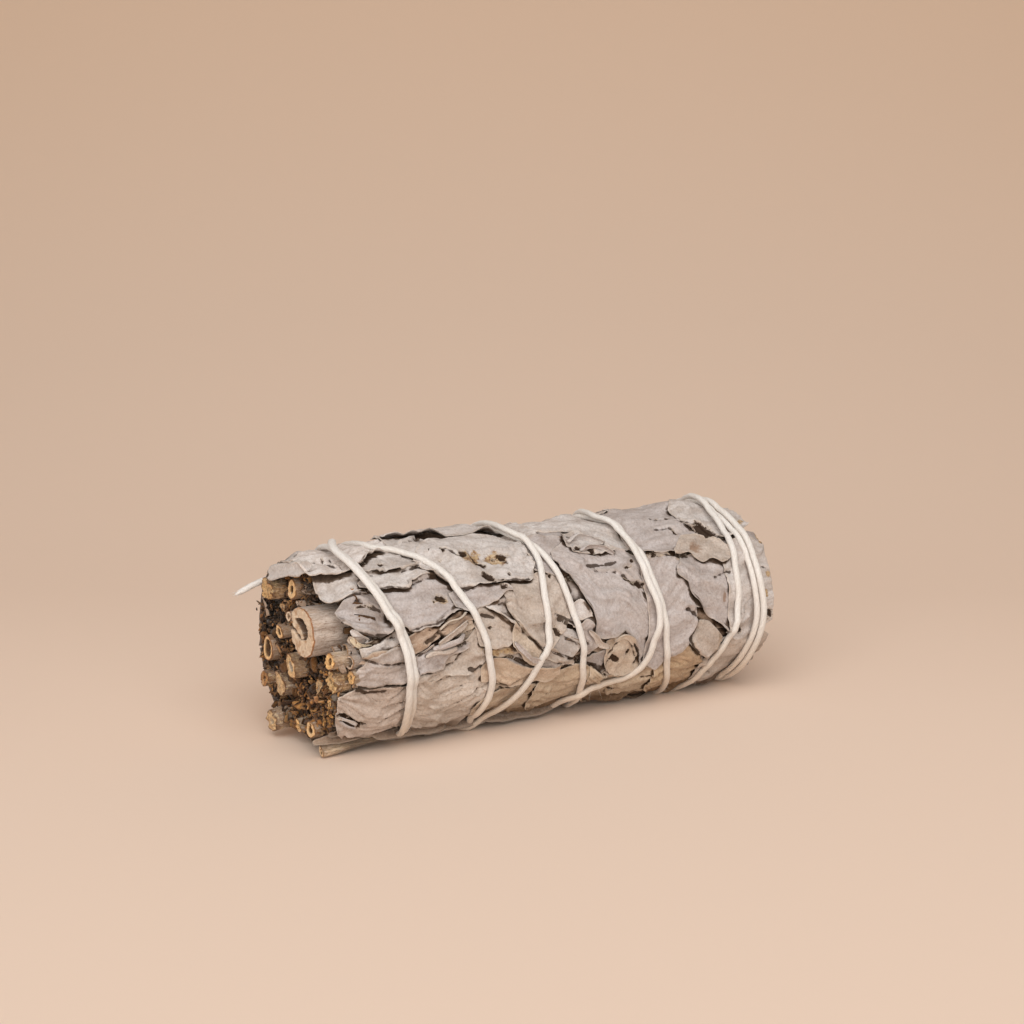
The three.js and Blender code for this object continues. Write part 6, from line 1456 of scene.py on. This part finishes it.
# ------------------------------------------------------------------------------------------------ loose leaf strips
def ribbon(batch, pts, side, width, tone, thick=0.26, cup=0.0, seed=0, n=22, m=9, cav=0.0):
    """A thin closed strip of leaf along a line of mm points, side giving the direction across it."""
    C = catmull(np.array(pts, float), 0.2)
    d = np.r_[0, np.cumsum(np.linalg.norm(np.diff(C, axis=0), axis=1))]
    s = np.linspace(0, d[-1], n)
    C = np.stack([np.interp(s, d, C[:, k]) for k in range(3)], 1)
    T = np.gradient(C, axis=0)
    T /= np.linalg.norm(T, axis=1, keepdims=True)
    side = np.asarray(side, float) - (T @ np.asarray(side, float))[:, None] * T
    side /= np.linalg.norm(side, axis=1, keepdims=True)
    up = np.cross(T, side)
    u, v = s / s[-1], np.linspace(-1, 1, m)
    wide = width / 2 * (0.35 + 0.65 * np.clip(1 - (2 * u - 1) ** 6, 0, 1)) * (1 + 0.18 * noise3(np.stack([s / 1.6, np.full(n, seed * 1.0), np.zeros(n)], 1), 700 + seed))
    P = C[:, None] + side[:, None] * (v[None] * wide[:, None])[..., None]
    S, V = np.meshgrid(s, v, indexing="ij")
    bumpy = cup * V**2 + 0.16 * noise3(np.stack([S.ravel() / 2.0, V.ravel() * 1.5, np.full(S.size, seed * 1.0)], 1), 710 + seed).reshape(S.shape)
    P = P + up[:, None] * bumpy[..., None]
    e = np.minimum(1 - np.abs(V), np.minimum(S, s[-1] - S) / (width / 2))
    th = 0.5 * thick * np.sqrt(np.clip(1 - (1 - np.clip(e / 0.2, 0, 1)) ** 2, 0, 1))
    th[0] = th[-1] = 0
    th[:, 0] = th[:, -1] = 0
    a = P + up[:, None] * th[..., None]
    b_ = P - up[:, None] * th[..., None]
    qa, qb, _ = sheet_faces(n, m)
    v_ = np.vstack([a.reshape(-1, 3), b_[1:-1, 1:-1].reshape(-1, 3)])
    v_[:, 2] = np.maximum(v_[:, 2], 0.1)
    rim = np.r_[np.exp(-((e.ravel() / 0.2) ** 2)), np.zeros((n - 2) * (m - 2))]
    # cav: painted shade laid evenly over the strip
    batch.add(v_, quads=np.vstack([qa, qb]), colour=tone, rim=rim, cav=cav)


def on_bundle(x, t, r):
    return tuple(float(k) for k in place(x, t, r))


def on_skin(x, t, lift):
    """A point on the laid leaves, lift mm above them."""
    return on_bundle(x, t, float(base_radius(x, t) + sample(SURF, x, t)) + lift)


strips = Batch()
# over the splayed stem
ribbon(strips, [(-52.2, -9.3, 3.5), (-48, -9.2, 3.6), (-42, -9.0, 3.6), (-34, -8.8, 3.8)], (0, 0.7, 0.7), 2.0, BROWN * 0.95, cup=0.3, seed=1, n=34, cav=0.15)
ribbon(strips, [(-49.6, -10.4, 4.9), (-47.0, -10.6, 5.2), (-44, -10.8, 5.4)], (0, 0.5, 1.0), 1.0, BROWN * 0.75, cup=0.3, seed=2, cav=0.2)
# strips along the underside, toned dark as painted shade under the bundle
ribbon(strips, [(-41, -10.2, 4.0), (-36, -9.7, 3.3), (-30, -9.2, 2.9), (-24, -9.0, 2.6)], (0, 0.8, 0.7), 3.2, BROWN * 0.55, cup=-0.3, seed=3, n=34)
ribbon(strips, [(-29, -8.4, 2.1), (-22, -8.8, 2.6), (-14, -8.6, 2.3)], (0, 0.8, 0.7), 2.8, BROWN * 0.5, cup=-0.3, seed=4, n=34)
ribbon(strips, [(-16, -8.8, 2.6), (-8, -8.4, 2.0), (1, -8.8, 2.4)], (0, 0.8, 0.7), 2.8, BROWN * 0.5, cup=-0.3, seed=5, n=34)
# folded bits in the pocket of the lower leaf
ribbon(strips, [on_skin(-48.9, -34.6, -0.25), on_skin(-47.0, -36.6, -0.1), on_skin(-45.0, -41.0, -0.3)], (0.2, -0.6, 0.7), 0.7, LIGHT, cup=0.2, seed=6)
ribbon(strips, [on_skin(-48.5, -38.2, -0.3), on_skin(-46.7, -40.6, -0.15), on_skin(-45.2, -43.2, -0.3)], (0.2, -0.6, 0.7), 0.55, MAUVE, cup=0.15, seed=7)
# pale folds in the dark gap beside the rolled stem
ribbon(strips, [on_bundle(-46.6, 24.5, 16.6), on_bundle(-45.4, 19.5, 16.9), on_bundle(-43.6, 16.0, 17.0)], (0.6, -0.5, 0.6), 1.3, LIGHT, cup=0.4, seed=8)
ribbon(strips, [on_bundle(-46.9, 19.5, 16.4), on_bundle(-45.6, 14.0, 16.9), on_bundle(-43.0, 12.4, 17.2)], (0.3, -0.3, 1.0), 1.1, srgb(214, 196, 168), cup=0.3, seed=9)
ribbon(strips, [on_bundle(-45.6, 27.0, 16.8), on_bundle(-43.4, 21.0, 16.9), on_bundle(-41.4, 19.0, 17.2)], (0.3, -0.6, 0.6), 1.4, WARM, cup=0.4, seed=10)
# twisted scraps where the leaves in front are crumpled
for k, (pts, side, width, tone, cup) in enumerate([
    ([(-31.2, 9.0, 0.3), (-29.2, 12.0, 0.75), (-27.0, 15.5, 0.5), (-24.6, 19.0, 0.3)], (-0.3, -0.5, 0.8), 1.7, TAN, 0.5),
    ([(-32.0, 5.6, 0.35), (-29.6, 6.6, 0.7), (-27.0, 8.2, 0.6), (-24.8, 11.5, 0.3)], (-0.1, -0.5, 0.85), 1.4, MAUVE, -0.4),
    ([(-30.4, 16.2, 0.3), (-28.6, 19.8, 0.7), (-26.4, 20.6, 0.8), (-24.2, 24.0, 0.4)], (-0.2, -0.7, 0.7), 1.3, WARM, 0.45),
    ([(-33.4, 1.8, 0.2), (-31.2, 3.4, 0.6), (-28.8, 2.6, 0.5), (-26.6, 4.4, 0.3)], (0.1, -0.4, 0.9), 1.2, TAN, -0.4),
    ([(-14.6, 3.5, 0.3), (-12.9, -2.0, 0.6), (-11.0, -7.2, 0.6), (-8.4, -11.0, 0.3)], (0.6, -0.5, 0.6), 1.2, MAUVE, 0.4),
    ([(2.6, 3.0, 0.2), (4.0, -1.0, 0.6), (5.4, -6.4, 0.5), (7.6, -9.6, 0.3)], (0.7, -0.5, 0.5), 1.3, TAN, 0.45),
    ([(8.4, -6.0, 0.3), (10.2, -3.4, 0.6), (12.2, -5.6, 0.5), (13.6, -10.5, 0.3)], (0.2, -0.6, 0.8), 1.2, WARM, 0.4),
    ([(3.2, 59.5, 0.3), (5.6, 64.0, 0.8), (8.6, 63.0, 0.7), (11.6, 56.5, 0.3)], (0.2, -0.5, 0.8), 1.5, PALE, 0.5),
    ([(4.6, 51.8, 0.2), (7.4, 54.2, 0.6), (10.4, 52.4, 0.5), (13.0, 48.4, 0.2)], (0.2, -0.5, 0.8), 1.2, MAUVE, 0.4),
]):
    ribbon(strips, [on_skin(*q_) for q_ in pts], side, width, tone, cup=cup, seed=20 + k, n=26)
# between the upper stems
ribbon(strips, [(-49.80, -0.82, 30.88), (-47.40, -4.53, 31.54), (-44.60, -8.58, 32.60)], (0, 0.5, 1.0), 2.2, BROWN * 0.95, cup=0.25, seed=11, cav=0.15)
ribbon(strips, [(-50.20, -0.19, 28.11), (-48.60, -2.30, 27.9), (-46.90, -4.30, 27.6)], (0, 0.3, 1.0), 1.5, BROWN, thick=0.9, cup=0.1, seed=12)
# leaf ends folded over the top of the cut face
ribbon(strips, [(-51.90, 10.33, 31.60), (-51.50, 4.90, 33.40), (-50.90, -0.80, 34.83), (-49.80, -5.62, 36.21)], (0.25, 0.0, 1.0), 3.0, PALE, cup=0.35, seed=13, n=30)
ribbon(strips, [(-51.40, 14.36, 26.35), (-51.30, 13.22, 24.79), (-51.20, 12.60, 22.91)], (0.3, 0.6, 0.3), 1.8, BROWN, cup=0.4, seed=14)
ob = strips.build("leaf_strips_near")
ob.data.materials.append(LEAF)
keep(ob, "leaf_warm")


# ------------------------------------------------------------------------------------------------ crumbs at the cut end
def near_stem(y, z, pad=0.25):
    for s in STEMS:
        if ((y - s[2]) / (s[4] + pad)) ** 2 + ((z - s[3]) / (s[5] + pad)) ** 2 < 1:
            return True
    return False


crumbs = Batch()
crng = np.random.default_rng(21)


def flake(c, size, tone, batch, curl=0.5):
    """A bent scrap of leaf, a closed thin sheet."""
    nu = nv = 4 if size < 0.5 else 5
    u = np.linspace(-1, 1, nu)
    U, V = np.meshgrid(u, u, indexing="ij")
    rad = 1 - 0.25 * crng.random() * (U * U) - 0.3 * crng.random() * V * V
    X = U * rad * size * (0.9 + 0.5 * crng.random())
    Y = V * rad * size * 0.6
    Zz = curl * size * crng.uniform(0.6, 1.6) * (0.5 * U * U * crng.uniform(-1, 1) + 0.7 * V * V * crng.uniform(-1, 1) + 0.3 * U * V * crng.uniform(-1, 1))
    th = 0.12 * (1 - np.maximum(np.abs(U), np.abs(V)) ** 4)
    up = np.stack([X, Y, Zz + th], -1).reshape(-1, 3)
    lowg = np.stack([X, Y, Zz - th], -1)[1:-1, 1:-1].reshape(-1, 3)
    v = np.vstack([up, lowg])
    qa, qb, _ = sheet_faces(nu, nv)
    # a random turn
    qd = crng.normal(size=4)
    qd /= np.linalg.norm(qd)
    w, a, b_, c_ = qd
    Rm = np.array([
        [1 - 2 * (b_ * b_ + c_ * c_), 2 * (a * b_ - c_ * w), 2 * (a * c_ + b_ * w)],
        [2 * (a * b_ + c_ * w), 1 - 2 * (a * a + c_ * c_), 2 * (b_ * c_ - a * w)],
        [2 * (a * c_ - b_ * w), 2 * (b_ * c_ + a * w), 1 - 2 * (a * a + b_ * b_)],
    ])
    # a random amount of painted shade on each crumb
    batch.add(v @ Rm.T + c, quads=np.vstack([qa, qb]), colour=tone * crng.uniform(0.75, 1.2), cav=crng.uniform(0, 0.4))


TONES = [
    srgb(134, 100, 68), srgb(164, 124, 84), srgb(100, 74, 50), srgb(206, 164, 112), srgb(172, 140, 108), srgb(122, 90, 60), srgb(84, 61, 42), srgb(184, 138, 88),
]
BITS_AT = [(s[1], s[2], max(s[3], s[4])) for s in BITS]


def front_x(y, z):
    """Where the crushed leaves end between the stems."""
    r = math.hypot(y, z - AXIS_Z)
    t_ = math.degrees(math.atan2(z - AXIS_Z, -y))
    o_ = float(smooth01((t_ - 4) / 14) * smooth01((70 - t_) / 12)) * smooth01((r - 7.5) / 3.5)
    return -48.3 - 1.5 * float(smooth01((y - 8.0) / 5.0)) + 4.6 * float(o_) + 0.9 * float(noise3(np.array([[y / 3.1, z / 3.1, 0.5]]), 55)[0])


made, tries = 0, 0
while made < 1950 and tries < 40000:
    tries += 1
    y, z = crng.uniform(-17, 17), crng.uniform(-17.5, 17) + AXIS_Z
    r = math.hypot(y, z - AXIS_Z)
    t_ = math.degrees(math.atan2(z - AXIS_Z, -y))
    fx_ = front_x(y, z)
    if r > float(base_radius(fx_, t_)) - 0.1 or near_stem(y, z, 0.1) or any(math.hypot(y - a_, z - b_) < c_ for a_, b_, c_ in BITS_AT):
        continue
    x = fx_ - crng.gamma(1.3, 0.5)
    x = max(x, fx_ - 1.8)
    size = crng.choice([0.35, 0.6, 0.95, 1.5], p=[0.54, 0.32, 0.11, 0.03]) * crng.uniform(0.8, 1.2)
    # painted shade: crumbs darker in pockets and further in
    pocket = float(noise3(np.array([[y / 2.6, z / 2.6, 1.5]]), 57)[0]) + 0.25 * (x - fx_ + 1.0)
    tone = TONES[crng.integers(len(TONES))] * (0.22 + 0.78 * float(smooth01((0.35 - pocket) / 0.8))) * np.array([1.08, 0.93, 0.7])
    # the ochre side by the big lower leaf
    if -16 < y < -10.5 and 7 < z < 19 and crng.random() < 0.7:
        tone = [srgb(172, 120, 60), srgb(132, 88, 43), srgb(192, 144, 82), srgb(94, 61, 31)][crng.integers(4)]
        size = min(size, 0.5)
        x -= 0.6
    flake(np.array([x, y, z]), size, tone, crumbs)
    made += 1
# a rough fringe where leaves and stems are torn off, round the edge
for k in range(260):
    t_ = crng.uniform(-80, 260)
    if 2 < t_ < 74:
        continue
    r = float(base_radius(-48.5, t_)) - abs(crng.normal(0, 0.9))
    p_ = place(-48.6 + crng.normal(0, 0.5), t_, r)
    if near_stem(p_[1], p_[2], -0.2):
        continue
    flake(p_, crng.uniform(0.4, 1.2), ([PALE, WARM, BROWN, OCHRE * 0.8] if t_ > 40 else [WARM * 0.8, BROWN, OCHRE * 0.8, BROWN * 0.6])[crng.integers(4)] * 0.8, crumbs)
for k in range(230):
    t_ = crng.uniform(140, 264)
    r = float(base_radius(-49.0, t_)) - crng.uniform(0.3, 2.0)
    p_ = place(crng.uniform(-51.5, -49.3), t_, r)
    if near_stem(p_[1], p_[2], 0.0):
        continue
    flake(p_, crng.uniform(0.35, 1.0), TONES[crng.integers(len(TONES))] * crng.uniform(0.3, 0.95) * np.array([1.08, 0.93, 0.72]), crumbs, 0.8)
ob = crumbs.build("crushed_leaf_near")
ob.data.materials.append(LEAF)
keep(ob, "crushed_leaf")

# leaf edges at the tip end: thin wavy strips, packed side by side
tips = Batch()
made = 0
while made < 150:
    y, z = crng.uniform(-16, 16), crng.uniform(-16, 16) + AXIS_Z
    r = math.hypot(y, z - AXIS_Z)
    if r > 15.2:
        continue
    n, m = 12, 5
    ang0 = math.atan2(z - AXIS_Z, y) + math.pi / 2 + crng.normal(0, 0.5)
    length = crng.uniform(3, 7)
    s = np.linspace(-0.5, 0.5, n) * length
    curv = crng.normal(0, 0.14)
    wave = 0.35 * np.sin(s * crng.uniform(1, 2.2) + crng.uniform(0, 6))
    cy = y + s * math.cos(ang0) - (curv * s * s + wave) * math.sin(ang0)
    cz = z + s * math.sin(ang0) + (curv * s * s + wave) * math.cos(ang0)
    keep_ = np.hypot(cy, cz - AXIS_Z) < 15.8
    if keep_.sum() < n:
        continue
    top_x = 49.0 + crng.uniform(-0.4, 0.9) + 0.25 * np.sin(s * 2 + crng.uniform(0, 6))
    xs = np.linspace(0, 1, m)
    U, V = np.meshgrid(np.arange(n), xs, indexing="ij")
    X = 46.5 + (top_x[:, None] - 46.5) * V
    N2 = np.array([-math.sin(ang0), math.cos(ang0)])
    th = 0.17 * (1 - (np.abs(np.linspace(-1, 1, n))[:, None]) ** 6) * np.where(V > 0.95, 0.05, 1)
    th = np.where((V <= 0.01), 0, th)
    th[0] = th[-1] = 0
    fan = crng.normal(0, 0.12) * (X - 46.5)
    up = np.stack([X, cy[:, None] + N2[0] * (th + fan), cz[:, None] + N2[1] * (th + fan)], -1)
    lw = np.stack([X, cy[:, None] - N2[0] * (th - fan), cz[:, None] - N2[1] * (th - fan)], -1)
    qa, qb, _ = sheet_faces(n, m)
    # painted shade, darker further in among the leaf edges
    tips.add(np.vstack([up.reshape(-1, 3), lw[1:-1, 1:-1].reshape(-1, 3)]), quads=np.vstack([qa, qb]), colour=[PALE, MAUVE, WARM, BROWN][made % 4] * crng.uniform(0.6, 1.0), cav=np.r_[np.clip(1.2 - V.ravel() * 1.3, 0, 1), np.full((n - 2) * (m - 2), 0.5)])
    made += 1
made = 0
while made < 200:
    y, z = crng.uniform(-16, 16), crng.uniform(-16, 16) + AXIS_Z
    if math.hypot(y, z - AXIS_Z) > 15.6:
        continue
    flake(np.array([48.6 + min(crng.gamma(1.2, 0.4), 0.9), y, z]), crng.uniform(0.5, 1.4), TONES[crng.integers(len(TONES))] * 1.3, tips)
    made += 1
ob = tips.build("leaf_edges_far")
ob.data.materials.append(LEAF)
keep(ob, "leaf_warm")


# ------------------------------------------------------------------------------------------------ stage, lights, camera
def stage_mesh():
    """A sheet of paper: a floor that curves up behind the object."""
    ex, ey = 0.5131, 0.8583  # level direction the camera looks in
    prof = [(-2.2, 0.0), (0.1, 0.0)]
    R = 0.55
    for a in np.linspace(0, 90, 40)[1:]:
        prof.append((0.1 + R * math.sin(a * D2R), R - R * math.cos(a * D2R)))
    prof.append((0.1 + R, 2.6))
    me = bpy.data.meshes.new("floor")
    vs = []
    for dd, zz in prof:
        for w in (-2.4, 2.4):
            vs.append((ex * dd + ey * w, ey * dd - ex * w, zz))
    fs = [(2 * i, 2 * i + 1, 2 * i + 3, 2 * i + 2) for i in range(len(prof) - 1)]
    me.from_pydata(vs, [], fs)
    me.polygons.foreach_set("use_smooth", [True] * len(fs))
    ob = bpy.data.objects.new("floor", me)
    bpy.context.scene.collection.objects.link(ob)
    m = Mat("pale_paper")
    far = m.node("ShaderNodeVectorMath", operation="DISTANCE")
    m.link(m.coord(), far.inputs[0])
    far.inputs[1].default_value = (-0.02, -0.04, -0.1)
    c = m.mix(m.remap(m.noise(3, 2, 0.5), 0.3, 0.7, 0.0, 0.12), PAPER, PAPER * 0.97)
    # painted shade: the paper darkens away from the object, more up the backdrop
    c = m.mix(m.remap(far.outputs["Value"], 0.14, 0.42, 0.0, 1.0), c, PAPER * np.array([0.86, 0.83, 0.8]))
    c = m.mix(m.remap(far.outputs["Value"], 0.42, 1.1, 0.0, 1.0), c, PAPER * np.array([0.7, 0.56, 0.41]))
    ob.data.materials.append(m.done(c, 0.95, m.bump(m.noise(900, 3, 0.5), 0.05, 0.00005), spec=0.1))
    return ob


PAPER = srgb(238, 215, 196)
stage_mesh()

sc = bpy.context.scene
sc.view_settings.view_transform = "Standard"
sc.view_settings.look = "None"
sc.view_settings.exposure = 0.0
sc.view_settings.gamma = 1.0

world = bpy.data.worlds.new("studio")
sc.world = world
world.use_nodes = True
bg = world.node_tree.nodes["Background"]
bg.inputs[0].default_value = (1.0, 0.98, 0.96, 1)
bg.inputs[1].default_value = 0.14


def area(name, loc, target, size, power, colour=(1, 1, 1)):
    L = bpy.data.lights.new(name, "AREA")
    L.shape = "RECTANGLE"
    L.size, L.size_y = size
    L.energy = power
    L.color = colour
    ob = bpy.data.objects.new(name, L)
    sc.collection.objects.link(ob)
    from mathutils import Vector

    ob.location = loc
    ob.rotation_euler = (Vector(target) - Vector(loc)).to_track_quat("-Z", "Y").to_euler()
    return ob


area("top_soft", (-0.15, -0.35, 0.9), (0, 0, 0), (1.0, 0.8), 2.8, (0.99, 0.992, 1.0))
area("front_soft", (-0.5, -0.85, 0.66), (0.0, 0.0, 0.02), (2.0, 1.3), 17.2, (1.0, 0.987, 0.968))

cam = bpy.data.cameras.new("camera")
cam.lens = 59.77
cam.sensor_width = 36.0
cam.sensor_fit = "HORIZONTAL"
cam.clip_start = 0.01
cam.clip_end = 20
co = bpy.data.objects.new("camera", cam)
sc.collection.objects.link(co)
from mathutils import Vector

C = (np.array([-174.609, -286.094, 105.087]) + SHIFT) * MM
Tg = (np.array([-2.680, 1.602, 40.461]) + SHIFT) * MM
co.location = C
co.rotation_euler = (Vector(Tg) - Vector(C)).to_track_quat("-Z", "Y").to_euler()
sc.camera = co
